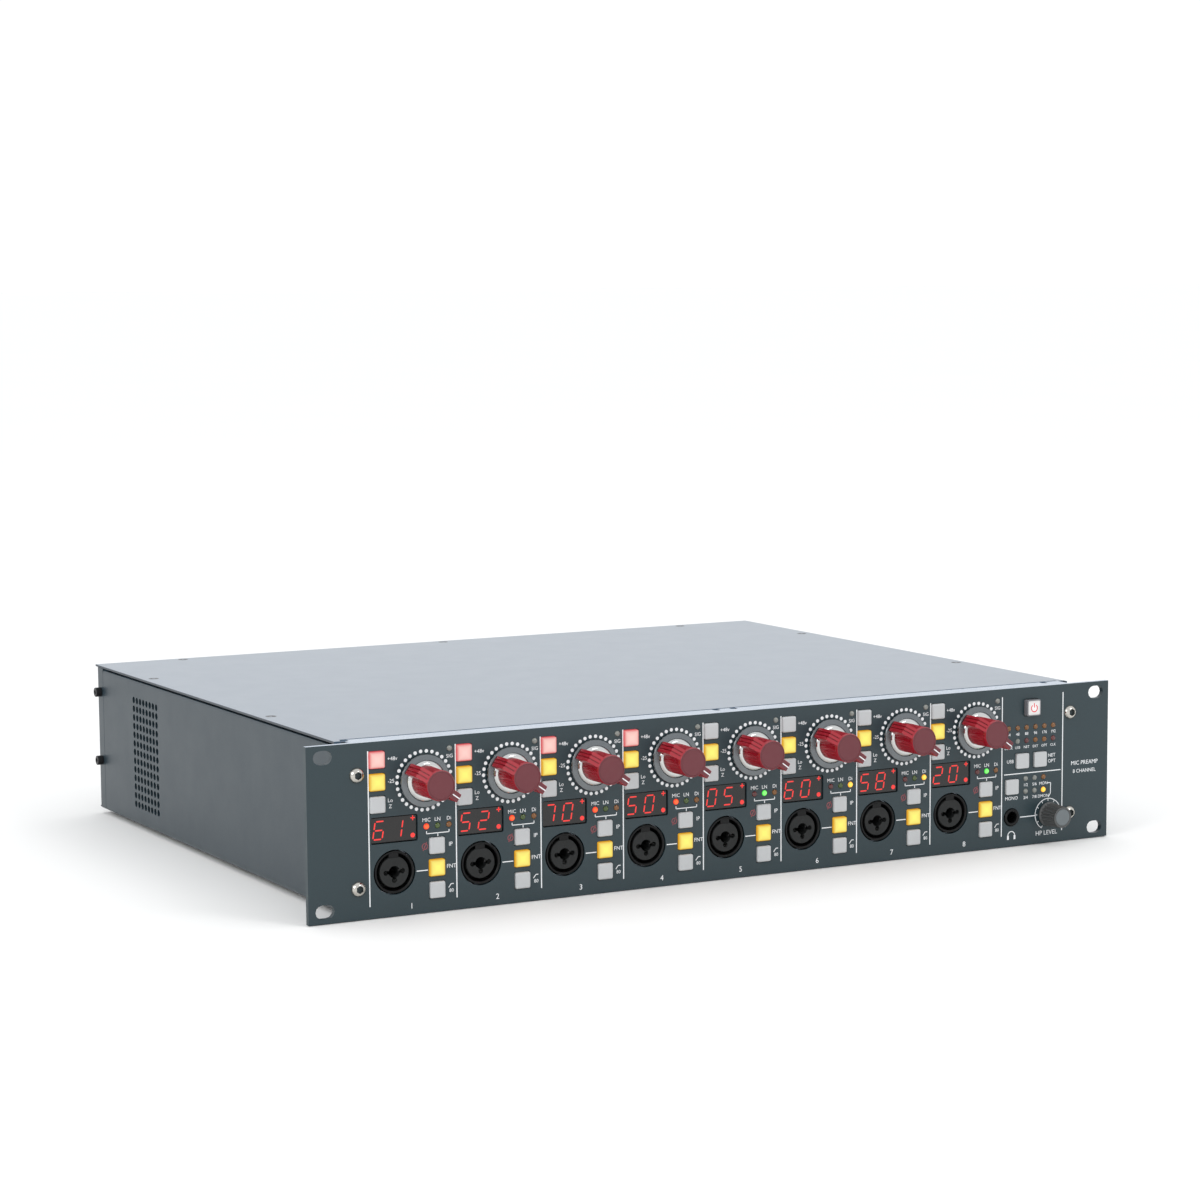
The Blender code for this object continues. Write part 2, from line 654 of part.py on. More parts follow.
def card_plate():
    """Black plate with rounded corners over the bay, drilled for the card's sockets."""
    low, high = across(CARD_LEFT), across(CARD_LEFT + CARD_WIDTH)
    bottom, top, corner = CARD_BOTTOM, CARD_BOTTOM + CARD_HEIGHT, 3
    outline = arc((high - corner, top - corner), corner, 0, 90, 3)
    outline += arc((low + corner, top - corner), corner, 90, 90, 3)
    outline += arc((low + corner, bottom + corner), corner, 180, 90, 3)
    outline += arc((high - corner, bottom + corner), corner, 270, 90, 3)
    bm = start()
    add_prism(bm, outline, "Y", back(CARD_FRONT), back(CARD_BACK))
    plate = make("card_plate", bm, BLACK)
    holes = start()
    low, high = back(CARD_FRONT - 1), back(CARD_BACK + 1)
    add_prism(holes, circle((card_x(BNC_PLACE[0]), BNC_PLACE[1]), BNC_RADIUS + GAP, 16), "Y", low, high)
    seat = CARD_BOARD_TOP + GAP
    for distance, size in [(USB_DISTANCE, USB_SIZE)] + [(value, OPTICAL_SIZE) for value in OPTICALS.values()]:
        centre = (card_x(distance), seat + size[2] / 2)
        add_prism(holes, rectangle(centre, size[0] + 2 * GAP, size[2] + 2 * GAP), "Y", low, high)
    add_prism(holes, rectangle((card_x(SYNC_PLACE[0]), SYNC_PLACE[1]), 4.6, 4.6), "Y", low, high)
    combine(plate, holes, "DIFFERENCE")


def card_board():
    """The card's board with its header, processors, capacitors and switch body."""
    left = card_x((CARD_WIDTH + CARD_BOARD_WIDTH) / 2)
    right = left + CARD_BOARD_WIDTH
    rear = back(CARD_FRONT - 2)
    front = rear - CARD_BOARD_LENGTH
    bm = start()
    add_box(bm, (left, right), (front, rear), (CARD_BOARD_TOP - BOARD, CARD_BOARD_TOP))
    board = make("card_board", bm, BOARD_GREEN)
    parts = start()
    seat = CARD_BOARD_TOP - BOARD / 2
    add_box(parts, (card_x(76), card_x(66)), (rear - 88, rear - 62), (seat, CARD_BOARD_TOP + 9))
    for distance, depth, side in ((88, 36, 16), (150, 96, 16), (118, 100, 9)):
        add_box(parts, (card_x(distance + side / 2), card_x(distance - side / 2)),
                (rear - depth - side / 2, rear - depth + side / 2), (seat, CARD_BOARD_TOP + 1.5))
    for distance in (166, 178, 190):
        add_prism(parts, circle((card_x(distance), rear - 110), 3.2, 8), "Z", seat, CARD_BOARD_TOP + 7)
    add_box(parts, (card_x(SYNC_PLACE[0] + 4), card_x(SYNC_PLACE[0] - 4)), (rear - 14, rear - 6),
            (seat, CARD_BOARD_TOP + 8))
    combine(board, parts, "UNION")


def card_block(name, distance, size, look):
    """A boxy socket that stands on the card's board and reaches through its plate."""
    width, depth, height = size
    rear = back(CARD_BACK) + GAP
    low = CARD_BOARD_TOP + GAP
    bm = start()
    centre = card_x(distance)
    add_box(bm, (centre - width / 2, centre + width / 2), (rear - depth, rear), (low, low + height))
    return make(name, bm, look)


def usb_socket():
    """Square socket with its tongue left standing in the mouth."""
    socket = card_block("usb_socket", USB_DISTANCE, USB_SIZE, ZINC)
    centre = (card_x(USB_DISTANCE), CARD_BOARD_TOP + GAP + USB_SIZE[2] / 2)
    rear = back(CARD_BACK) + GAP
    mouth = start()
    add_prism(mouth, rectangle(centre, 8.6, 8.0), "Y", rear - 9, rear + 1)
    combine(socket, mouth, "DIFFERENCE")
    tongue = start()
    add_prism(tongue, rectangle(centre, 5.6, 3.0), "Y", rear - 10, rear - 1)
    combine(socket, tongue, "UNION")


def din_connector():
    """Long grey connector along the card's left edge."""
    length, width, height = 85.0, 9.5, 11.5
    rear = back(CARD_FRONT - 20)
    low = CARD_BOARD_TOP + GAP
    centre = card_x(14)
    bm = start()
    add_box(bm, (centre - width / 2, centre + width / 2), (rear - length, rear), (low, low + height))
    make("din_connector", bm, GREY_PLASTIC)


def bnc_socket():
    """Bayonet socket: nut inside the plate, barrel outside."""
    distance, z = BNC_PLACE
    inside, plate, end = back(CARD_FRONT) - GAP, back(CARD_BACK) + GAP, back(REAR_END)
    profile = [(0, inside - 12), (4, inside - 12), (4, inside - 4), (7, inside - 4), (7, inside),
               (BNC_RADIUS, inside), (BNC_RADIUS, plate), (7, plate), (7, plate + 3),
               (BNC_RADIUS, plate + 3), (BNC_RADIUS, end),
               (3.9, end), (3.9, end - 7), (0, end - 7)]
    bm = start()
    add_turned(bm, profile[::-1], card_x(distance), z, 16)
    make("bnc_socket", bm, NICKEL, smooth=True)


def sync_switch():
    """Blue plunger through the card's plate."""
    x, z = card_x(SYNC_PLACE[0]), SYNC_PLACE[1]
    bm = start()
    add_prism(bm, rectangle((x, z), 4, 4), "Y", back(CARD_FRONT - 6), back(CARD_BACK + 5))
    make("sync_switch", bm, BLUE, (x, back(CARD_BACK), z))


# ---------------------------------------------------------------- build

def clear_scene():
    for thing in list(bpy.data.objects):
        bpy.data.objects.remove(thing, do_unlink=True)


def build():
    clear_scene()
    front_panel()
    sub_panel()
    case_tray()
    top_cover()
    rear_panel()
    for channel in range(CHANNELS):
        gain_knob(channel)
        combo_socket(channel)
        button_column(f"left_buttons_{channel + 1}", *channel_place(channel, LEFT_COLUMN))
        button_column(f"right_buttons_{channel + 1}", *channel_place(channel, RIGHT_COLUMN))
    push_button("power_button", POWER_BUTTON, POWER_CAP, POWER_PROUD)
    for name, place in SECTION_BUTTONS.items():
        push_button(name, place, CAP, CAP_PROUD)
    headphone_level_knob()
    headphone_jack()
    control_board()
    main_board()
    power_supply()
    mains_inlet()
    mains_rocker()
    for index, place in enumerate(multiway_places()):
        multiway_connector(index + 1, place)
    card_plate()
    card_board()
    din_connector()
    usb_socket()
    for name, distance in OPTICALS.items():
        card_block(name, distance, OPTICAL_SIZE, GREY_PLASTIC if "output" in name else BLACK)
    bnc_socket()
    sync_switch()


build()
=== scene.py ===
import json
import math

import bpy
from mathutils import Matrix, Vector


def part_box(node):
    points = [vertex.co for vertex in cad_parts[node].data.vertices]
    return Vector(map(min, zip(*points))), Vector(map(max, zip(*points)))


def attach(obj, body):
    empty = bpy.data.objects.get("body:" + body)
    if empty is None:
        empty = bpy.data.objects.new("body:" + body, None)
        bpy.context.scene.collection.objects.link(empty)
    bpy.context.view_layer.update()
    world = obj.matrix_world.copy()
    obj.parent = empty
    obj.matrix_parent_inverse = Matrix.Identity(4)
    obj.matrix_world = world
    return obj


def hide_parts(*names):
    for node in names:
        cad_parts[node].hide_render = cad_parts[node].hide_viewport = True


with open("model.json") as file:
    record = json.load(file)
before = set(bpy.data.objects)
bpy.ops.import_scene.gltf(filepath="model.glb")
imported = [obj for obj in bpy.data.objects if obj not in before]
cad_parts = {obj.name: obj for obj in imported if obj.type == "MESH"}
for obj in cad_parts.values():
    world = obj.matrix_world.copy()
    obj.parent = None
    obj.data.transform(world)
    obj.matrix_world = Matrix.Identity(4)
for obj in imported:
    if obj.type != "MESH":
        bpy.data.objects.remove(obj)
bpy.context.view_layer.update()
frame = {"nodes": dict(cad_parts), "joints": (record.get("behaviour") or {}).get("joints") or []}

MM = 0.001
MERGE_DISTANCE = 0.01 * MM
INK_THICKNESS = 0.02

# ------------------------------------------------------------------ places

PANEL_LOW, PANEL_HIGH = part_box("front_panel")
LID_LOW, LID_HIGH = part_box("top_cover")
TRAY_LOW, TRAY_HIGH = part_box("case_tray")
REAR_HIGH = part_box("rear_panel")[1]
PLATE_LOW, PLATE_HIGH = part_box("card_plate")
BOARD_LOW, BOARD_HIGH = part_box("card_board")
CHANNELS = range(1, 9)
BUTTON_PITCH = 11.15
CAP, CAP_PROUD, SINGLE_CAP_SINK = 8.4, 1.25, 7.4


def panel_x(x):
    """Distance from the panel's left edge, in millimetres, of a frame X."""
    return (x - PANEL_LOW.x) / MM


def on_panel(x, drop, proud=0.0):
    """A place given in millimetres from the panel's left edge, its top edge and out of its face."""
    return Vector((PANEL_LOW.x + x * MM, PANEL_LOW.y - proud * MM, PANEL_HIGH.z - drop * MM))


def centre_of(node):
    """Panel place (x, drop) of the middle of a CAD node."""
    low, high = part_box(node)
    middle = (low + high) / 2
    return panel_x(middle.x), (PANEL_HIGH.z - middle.z) / MM


def hinge_place(joint_name):
    """Panel place (x, drop) of a knob's axis."""
    x, _, z = next(joint["pos_m"] for joint in frame["joints"] if joint["name"] == joint_name)
    return panel_x(x), (PANEL_HIGH.z - z) / MM


def rear_middle(node):
    """Middle of a CAD node's rear face."""
    low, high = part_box(node)
    return Vector(((low.x + high.x) / 2, high.y, (low.z + high.z) / 2))


DIVIDER_OFFSET = 30.1
DIVIDERS = [hinge_place(f"gain_turn_{channel}")[0] - DIVIDER_OFFSET for channel in CHANNELS]
CHANNEL_PITCH = DIVIDERS[1] - DIVIDERS[0]


# ------------------------------------------------------------------ modelling by hand

def deselect():
    """Leave nothing selected."""
    bpy.ops.object.select_all(action="DESELECT")


def pick(*pieces):
    """Select these pieces, the first one active."""
    deselect()
    for piece in pieces:
        piece.select_set(True)
    bpy.context.view_layer.objects.active = pieces[0]
    return pieces[0]


def settle(name):
    """Name the active piece and put its place, turn and scale into its mesh."""
    bpy.ops.object.transform_apply(location=True, rotation=True, scale=True)
    piece = bpy.context.object
    piece.name = name
    piece.data.name = name
    return piece


def block(name, low, high):
    """A box between two corners, in frame metres."""
    deselect()
    low, high = Vector(low), Vector(high)
    bpy.ops.mesh.primitive_cube_add(size=1, location=(low + high) / 2, scale=high - low)
    return settle(name)


def near(name, place, low, high):
    """A box between two corners given in millimetres from a place."""
    return block(name, place + Vector(low) * MM, place + Vector(high) * MM)


def panel_block(name, x, drop, proud):
    """A box between (low, high) pairs of panel millimetres."""
    return block(name, on_panel(x[0], drop[1], proud[1]), on_panel(x[1], drop[0], proud[0]))


def span(middle, width):
    """The low and high ends of a width about its middle."""
    return middle - width / 2, middle + width / 2


def round_bar(name, centre, radius, low, high, sides=32, axis="Y"):
    """A cylinder along an axis between two positions on it."""
    deselect()
    turn = {"X": (0, math.pi / 2, 0), "Y": (math.pi / 2, 0, 0), "Z": (0, 0, 0)}[axis]
    place = Vector(centre)
    place["XYZ".index(axis)] = (low + high) / 2
    bpy.ops.mesh.primitive_cylinder_add(vertices=sides, radius=radius, depth=high - low, location=place,
                                        rotation=turn)
    return settle(name)


def panel_bar(name, place, radius, proud, sides=32):
    """A cylinder out of the panel, sizes in millimetres."""
    middle = on_panel(*place)
    return round_bar(name, middle, radius * MM, middle.y - proud[1] * MM, middle.y - proud[0] * MM, sides)


def turned(name, centre, profile, steps=48, axis="Y"):
    """Extrude a point through a profile of (radius, height) millimetres and spin it.

    Heights run out of the panel, towards -Y, or up for axis Z, or rearwards for axis REAR.
    """
    outward = {"Y": Vector((0, -1, 0)), "Z": Vector((0, 0, 1)), "REAR": Vector((0, 1, 0))}[axis]
    centre = Vector(centre)
    points = [centre + Vector((radius * MM, 0, 0)) + outward * height * MM for radius, height in profile]
    deselect()
    bpy.ops.mesh.primitive_plane_add(size=MM, location=points[0])
    piece = settle(name)
    bpy.ops.object.mode_set(mode="EDIT")
    bpy.ops.mesh.select_mode(type="VERT")
    bpy.ops.mesh.select_all(action="SELECT")
    bpy.ops.mesh.merge(type="CENTER")
    for before, after in zip(points, points[1:]):
        bpy.ops.mesh.extrude_vertices_move(TRANSFORM_OT_translate={"value": after - before})
    bpy.ops.mesh.select_all(action="SELECT")
    bpy.ops.mesh.spin(steps=steps, angle=math.tau, center=centre, axis=outward)
    bpy.ops.mesh.select_all(action="SELECT")
    bpy.ops.mesh.remove_doubles(threshold=MERGE_DISTANCE)
    bpy.ops.mesh.normals_make_consistent(inside=False)
    bpy.ops.object.mode_set(mode="OBJECT")
    return piece


def modify(piece, kind, **settings):
    """Add a modifier and apply it."""
    pick(piece)
    modifier = piece.modifiers.new(kind.title(), kind)
    for key, value in settings.items():
        setattr(modifier, key, value)
    bpy.ops.object.modifier_apply(modifier=modifier.name)
    return piece


def soften(piece, width, segments=2, angle=35):
    """Round every edge sharper than an angle; the width is in millimetres."""
    return modify(piece, "BEVEL", width=width * MM, segments=segments, limit_method="ANGLE",
                  angle_limit=math.radians(angle), use_clamp_overlap=True, harden_normals=False)


def carve(piece, cutter):
    """Cut one piece out of another and throw the cutter away."""
    modify(piece, "BOOLEAN", operation="DIFFERENCE", solver="EXACT", object=cutter)
    bpy.data.objects.remove(cutter)
    return piece


def weld(piece, *others):
    """Unite overlapping pieces into one closed skin."""
    for other in others:
        modify(piece, "BOOLEAN", operation="UNION", solver="EXACT", object=other)
        bpy.data.objects.remove(other)
    return piece


def join(name, pieces):
    """Put pieces that don't touch into one."""
    piece = pick(*pieces)
    if len(pieces) > 1:
        bpy.ops.object.join()
    piece.name = name
    piece.data.name = name
    return piece


def smooth(piece, angle=35):
    """Smooth shading up to an angle, with the large faces kept flat."""
    pick(piece)
    bpy.ops.object.shade_smooth_by_angle(angle=math.radians(angle))
    return modify(piece, "WEIGHTED_NORMAL", keep_sharp=True, weight=90)


def copied(piece, name, shift):
    """A copy with its own mesh, moved by a vector."""
    pick(piece)
    bpy.ops.object.duplicate(linked=False)
    bpy.ops.transform.translate(value=Vector(shift))
    return settle(name)


def row_of(first, name, places):
    """The first piece, then its copies numbered from two, one for each further place."""
    return [first] + [copied(first, f"{name}_{number}", place - places[0])
                      for number, place in enumerate(places[1:], start=2)]


def repeated(piece, count, step):
    """A row of a piece as one mesh; the step is a vector in millimetres."""
    return modify(piece, "ARRAY", count=count, use_relative_offset=False, use_constant_offset=True,
                  constant_offset_displace=Vector(step) * MM)


def turn_about(piece, centre, degrees, axis="Y"):
    """Turn a piece about an axis through a point, clockwise seen from the front for axis Y."""
    matrix = Matrix.Translation(centre) @ Matrix.Rotation(math.radians(degrees), 4, axis)
    pick(piece)
    piece.data.transform(matrix @ Matrix.Translation(-Vector(centre)))
    return piece


def traced(node, name):
    """A clean copy of a CAD node's shape, with its flat faces whole."""
    pick(frame["nodes"][node])
    bpy.ops.object.duplicate(linked=False)
    piece = bpy.context.object
    for key in list(piece.keys()):
        del piece[key]
    piece.parent = None
    piece.name = name
    piece.data.name = name
    piece.data.materials.clear()
    bpy.ops.object.mode_set(mode="EDIT")
    bpy.ops.mesh.select_all(action="SELECT")
    bpy.ops.mesh.remove_doubles(threshold=MERGE_DISTANCE)
    bpy.ops.mesh.dissolve_limited(angle_limit=math.radians(1))
    bpy.ops.object.mode_set(mode="OBJECT")
    return piece


def lettering(name, letters, place, size, facing="FRONT", align="CENTER"):
    """Flat letters a hair thick, as a mesh; place is a frame position, size in millimetres."""
    turn = {"FRONT": (math.pi / 2, 0, 0), "REAR": (math.pi / 2, 0, math.pi)}[facing]
    deselect()
    bpy.ops.object.text_add(location=place, rotation=turn)
    text = bpy.context.object
    text.data.body = letters
    text.data.size = size * MM
    text.data.align_x = align
    text.data.align_y = "CENTER"
    text.data.extrude = INK_THICKNESS * MM
    text.data.resolution_u = 3
    bpy.ops.object.convert(target="MESH")
    return settle(name)


# ------------------------------------------------------------------ finishes

def set_inputs(node, inputs):
    """Set a node's inputs by name or number; an output of another node is linked."""
    for key, value in inputs.items():
        if isinstance(value, bpy.types.NodeSocket):
            node.id_data.links.new(value, node.inputs[key])
        else:
            node.inputs[key].default_value = value
    return node


def new_finish(name, colour, roughness, metallic=0.0):
    """A material with its node tree and its shader."""
    finish = bpy.data.materials.new(name)
    finish.use_nodes = True
    shader = finish.node_tree.nodes["Principled BSDF"]
    set_inputs(shader, {"Base Color": (*colour, 1), "Roughness": roughness, "Metallic": metallic})
    return finish, finish.node_tree, shader


def scaled(colour, factor):
    """A colour made lighter or darker, no channel above one."""
    return [min(1.0, channel * factor) for channel in colour]


def add_node(tree, kind, inputs=(), **settings):
    """A node with its settings, then its inputs."""
    node = tree.nodes.new(kind)
    for key, value in settings.items():
        setattr(node, key, value)
    return set_inputs(node, dict(inputs))


def object_place(tree, location=(0, 0, 0), scale=(1, 1, 1)):
    """Object coordinates through a Mapping node that moves and stretches them."""
    coordinates = add_node(tree, "ShaderNodeTexCoord").outputs["Object"]
    inputs = {"Vector": coordinates, "Location": location, "Scale": scale}
    return add_node(tree, "ShaderNodeMapping", inputs).outputs["Vector"]


def noise(tree, place, grain, detail=3.0, roughness=0.5):
    """Noise whose grain size is given in millimetres."""
    inputs = {"Vector": place, "Scale": 1 / (grain * MM), "Detail": detail, "Roughness": roughness}
    return add_node(tree, "ShaderNodeTexNoise", inputs).outputs["Fac"]


def ranged(tree, value, low, high, from_low=0.3, from_high=0.7):
    """A value carried from one range to another."""
    inputs = {"Value": value, "From Min": from_low, "From Max": from_high, "To Min": low, "To Max": high}
    return add_node(tree, "ShaderNodeMapRange", inputs).outputs["Result"]


def blended(tree, factor, first, second):
    """Two colours mixed by a factor."""
    first, second = [colour if isinstance(colour, bpy.types.NodeSocket) else (*colour, 1)
                     for colour in (first, second)]
    return add_node(tree, "ShaderNodeMix", {0: factor, 6: first, 7: second}, data_type="RGBA").outputs[2]


def bumped(tree, shader, height, depth, strength=1.0):
    """Bump from a height, its depth in millimetres."""
    node = add_node(tree, "ShaderNodeBump", {"Height": height, "Strength": strength, "Distance": depth * MM})
    set_inputs(shader, {"Normal": node.outputs["Normal"]})


def coated(name, colour, roughness, grain, depth, tint=1.12, stretch=(1, 1, 1), metallic=0.0, spread=0.06,
           coat=0.0, shine=0.5):
    """Paint, plate or moulding: fine bump, roughness that wanders and slow colour drift."""
    finish, tree, shader = new_finish(name, colour, roughness, metallic)
    place = object_place(tree, scale=stretch)
    drift = ranged(tree, noise(tree, place, grain * 60, detail=4.0), 0, 1)
    smear = noise(tree, place, grain * 18, detail=2.0)
    bumped(tree, shader, noise(tree, place, grain), depth)
    set_inputs(shader, {"Base Color": blended(tree, drift, colour, scaled(colour, tint)),
                        "Roughness": ranged(tree, smear, roughness - spread, roughness + spread),
                        "Specular IOR Level": shine, "Coat Weight": coat, "Coat Roughness": 0.25})
    return finish


def powder_coat(name, colour, roughness, grain, depth, marks=0.05, coat=0.0):
    """Textured paint with faint drift in its tone and handling marks in its gloss."""
    finish, tree, shader = new_finish(name, colour, roughness)
    place = object_place(tree)
    drift = ranged(tree, noise(tree, place, grain * 160, detail=4.0), 0, 1)
    ground = blended(tree, drift, colour, scaled(colour, 1 + marks * 1.6))
    fleck = ranged(tree, noise(tree, place, grain * 1.6, detail=1.0), 0, 1, 0.35, 0.75)
    handled = noise(tree, place, grain * 45, detail=5.0, roughness=0.65)
    bumped(tree, shader, noise(tree, place, grain, detail=2.0), depth)
    set_inputs(shader, {"Base Color": blended(tree, fleck, ground, scaled(colour, 1.35)),
                        "Roughness": ranged(tree, handled, roughness - marks, roughness + marks),
                        "Coat Weight": coat, "Coat Roughness": 0.3})
    return finish


def spun_metal(name, colour, roughness, centre, ring):
    """Metal turned on a lathe: fine rings about an axis along Y."""
    finish, tree, shader = new_finish(name, colour, roughness, 1.0)
    place = object_place(tree, location=-Vector(centre))
    inputs = {"Vector": place, "Scale": 1 / (ring * MM * 3.2), "Distortion": 1.5, "Detail": 2.0,
              "Detail Scale": 2.0}
    rings = add_node(tree, "ShaderNodeTexWave", inputs, wave_type="RINGS", rings_direction="Y")
    bumped(tree, shader, rings.outputs["Fac"], 0.008, 0.4)
    smear = noise(tree, place, 5.0, detail=2.0)
    set_inputs(shader, {"Roughness": ranged(tree, smear, roughness - 0.04, roughness + 0.05),
                        "Base Color": blended(tree, ranged(tree, smear, 0, 1), colour, scaled(colour, 0.9)),
                        "Anisotropic": 0.6})
    return finish


def lit_cap(name, core, rim, strength, centre, pitch):
    """A frosted cap lit from behind: bright in the middle, deeper colour round its edge.

    The middles repeat every pitch along X and Z, so one finish serves a whole row of caps.
    """
    finish, tree, shader = new_finish(name, scaled(core, 0.15), 0.4)
    place = object_place(tree, location=-Vector(centre))
    half = Vector(pitch) / 2
    wrap = add_node(tree, "ShaderNodeVectorMath", {0: place, 1: half, 2: -half}, operation="WRAP")
    away = add_node(tree, "ShaderNodeVectorMath", {0: wrap.outputs[0]}, operation="ABSOLUTE")
    parts = add_node(tree, "ShaderNodeSeparateXYZ", {0: away.outputs[0]}).outputs
    farthest = add_node(tree, "ShaderNodeMath", {0: parts["X"], 1: parts["Z"]},
                        operation="MAXIMUM").outputs[0]
    edge = ranged(tree, farthest, 0, 1, CAP * 0.36 * MM, CAP * 0.5 * MM)
    glow = ranged(tree, farthest, strength, strength * 0.72, CAP * 0.1 * MM, CAP * 0.5 * MM)
    set_inputs(shader, {"Emission Color": blended(tree, edge, core, rim), "Emission Strength": glow})
    bumped(tree, shader, noise(tree, object_place(tree), 0.35), 0.02, 0.5)
    return finish


def glowing(name, core, rim, strength):
    """A small lens lit from inside, hottest on the faces that point along Y."""
    finish, tree, shader = new_finish(name, scaled(rim, 0.5), 0.2)
    normal = add_node(tree, "ShaderNodeTexCoord").outputs["Normal"]
    parts = add_node(tree, "ShaderNodeSeparateXYZ", {0: normal}).outputs
    along = add_node(tree, "ShaderNodeMath", {0: parts["Y"]}, operation="ABSOLUTE").outputs[0]
    speckle = noise(tree, object_place(tree), 0.6)
    inputs = {0: ranged(tree, along, 1, 0, 0.3, 1.0), 1: ranged(tree, speckle, -0.08, 0.08)}
    edge = add_node(tree, "ShaderNodeMath", inputs, operation="ADD", use_clamp=True).outputs[0]
    set_inputs(shader, {"Emission Color": blended(tree, edge, core, rim), "Emission Strength": strength})
    return finish


def lens(name, colour, roughness=0.18):
    """A tinted lens that isn't lit."""
    finish, tree, shader = new_finish(name, colour, roughness)
    place = object_place(tree)
    shade = ranged(tree, noise(tree, place, 1.2), 0, 1)
    bumped(tree, shader, noise(tree, place, 0.4), 0.01, 0.4)
    set_inputs(shader, {"Base Color": blended(tree, shade, colour, scaled(colour, 1.5)), "Coat Weight": 0.4,
                        "Coat Roughness": 0.1})
    return finish


def circuit_green(name, colour):
    """Solder mask over a web of tracks, with pads of tinned copper here and there."""
    finish, tree, shader = new_finish(name, colour, 0.3)
    place = object_place(tree)
    inputs = {"Vector": place, "Scale": 1 / (4.2 * MM), "Mortar Size": 0.09, "Mortar Smooth": 0.1,
              "Bias": 0.0, "Brick Width": 1.7, "Row Height": 0.42}
    tracks = add_node(tree, "ShaderNodeTexBrick", inputs, offset=0.37, squash=0.7, squash_frequency=3)
    islands = ranged(tree, noise(tree, place, 14, detail=3.0), 0, 1, 0.44, 0.52)
    inputs = {0: tracks.outputs["Fac"], 1: islands}
    web = add_node(tree, "ShaderNodeMath", inputs, operation="MULTIPLY").outputs[0]
    tinted = blended(tree, web, colour, scaled(colour, 2.1))
    inputs = {"Vector": place, "Scale": 1 / (3.1 * MM), "Randomness": 0.8}
    dots = add_node(tree, "ShaderNodeTexVoronoi", inputs)
    pad = ranged(tree, dots.outputs["Distance"], 1, 0, 0.10, 0.13)
    bumped(tree, shader, web, 0.03, 0.6)
    set_inputs(shader, {"Base Color": blended(tree, pad, tinted, (0.55, 0.56, 0.52)),
                        "Roughness": ranged(tree, noise(tree, place, 9), 0.24, 0.36), "Coat Weight": 0.3})
    return finish


WHITE = (0.78, 0.79, 0.8)
PANEL_SLATE = (0.013, 0.0275, 0.0335)
CASE_GREY = (0.014, 0.027, 0.036)
# The lid's grey is the tray's paint made lighter and bluer: a painted reflection of the bright room on its
# top.
COVER_GREY_WITH_SHEEN = (0.052, 0.092, 0.140)
RED_CORE, RED_RIM = (0.95, 0.56, 0.51), (0.86, 0.07, 0.09)
YELLOW_CORE, YELLOW_RIM = (0.965, 0.83, 0.16), (0.92, 0.40, 0.0)

panel_paint = powder_coat("panel_satin_paint", PANEL_SLATE, 0.40, 0.25, 0.008)
case_paint = powder_coat("case_powder_coat", CASE_GREY, 0.40, 0.40, 0.012, 0.025)
cover_paint_with_sheen = powder_coat("cover_coat_painted_sheen", COVER_GREY_WITH_SHEEN, 0.33, 0.40, 0.010, 0.02, 0.85)
# A darker copy of the lid's paint for its faces that look sideways: painted shade.
lid_side_shade_paint = powder_coat("cover_edge_painted_shade", (0.036, 0.045, 0.056), 0.5, 0.40, 0.010, 0.02)
# A pale bluish finish for the strip, its ledge and the panel's top edge: a painted highlight of the bright
# room on faces that look up.
strip_highlight_paint = coated("strip_painted_highlight", (0.43, 0.485, 0.56), 0.3, 0.35, 0.004, 1.03, metallic=0.3)
white_ink = coated("white_ink", WHITE, 0.55, 0.15, 0.004, 1.04)
red_ink = coated("red_ink", (0.27, 0.06, 0.07), 0.55, 0.15, 0.004)
knob_red = coated("knob_red", (0.29, 0.003, 0.013), 0.34, 0.25, 0.006, 1.15, coat=0.15)
# The cap's own dull rose, also laid on the red body's forward faces as a painted sheen.
cap_rose_and_sheen = coated("rose_cap_and_painted_sheen", (0.120, 0.020, 0.027), 0.5, 0.18, 0.004, 1.06)
bright_metal = coated("polished_metal", (0.58, 0.58, 0.57), 0.12, 0.5, 0.003, 1.03, metallic=1.0, spread=0.03)
screw_metal = coated("screw_nickel", (0.50, 0.48, 0.44), 0.12, 0.3, 0.004, 1.1, metallic=1.0, spread=0.04)
black_screw = coated("blackened_screw", (0.010, 0.010, 0.011), 0.35, 0.2, 0.006, 1.4, shine=0.35)
socket_black = coated("socket_black", (0.0035, 0.0038, 0.004), 0.34, 0.2, 0.006, 1.4, shine=0.22)
insert_grey = coated("insert_dark_grey", (0.0105, 0.0115, 0.0115), 0.5, 0.2, 0.008, 1.3, shine=0.3)
# Near-black and rough, for the plug at the bottom of each socket's bore: painted shade.
bore_shade_black = coated("bore_painted_shade", (0.002, 0.002, 0.002), 0.8, 0.5, 0.004, 1.2)
contact_gold = coated("contact_gold", (0.75, 0.55, 0.22), 0.25, 0.3, 0.003, 1.1, metallic=1.0)
contact_tin = coated("contact_tin", (0.66, 0.66, 0.64), 0.3, 0.3, 0.003, 1.1, metallic=1.0)
level_grey = coated("level_knob_grey", (0.070, 0.072, 0.072), 0.42, 0.2, 0.008, 1.15)
level_cap = coated("level_knob_cap", (0.125, 0.142, 0.150), 0.4, 0.2, 0.005, 1.08)
plain_cap = coated("plain_cap", (0.46, 0.47, 0.475), 0.40, 0.3, 0.006, 1.05)
window_glass = coated("window_glass", (0.009, 0.008, 0.008), 0.22, 1.5, 0.002, 1.5)
digit_glow = glowing("digit_glow", (0.95, 0.045, 0.035), (0.8, 0.02, 0.02), 0.72)
clear_lens = lens("clear_lens", (0.16, 0.165, 0.15))
amber_lens = lens("amber_lens", (0.13, 0.048, 0.005))
green_lens = lens("green_lens", (0.038, 0.066, 0.008))
dark_red_lens = lens("dark_red_lens", (0.075, 0.012, 0.012))
red_light = glowing("red_light", (1.0, 0.16, 0.03), (0.9, 0.02, 0.01), 1.0)
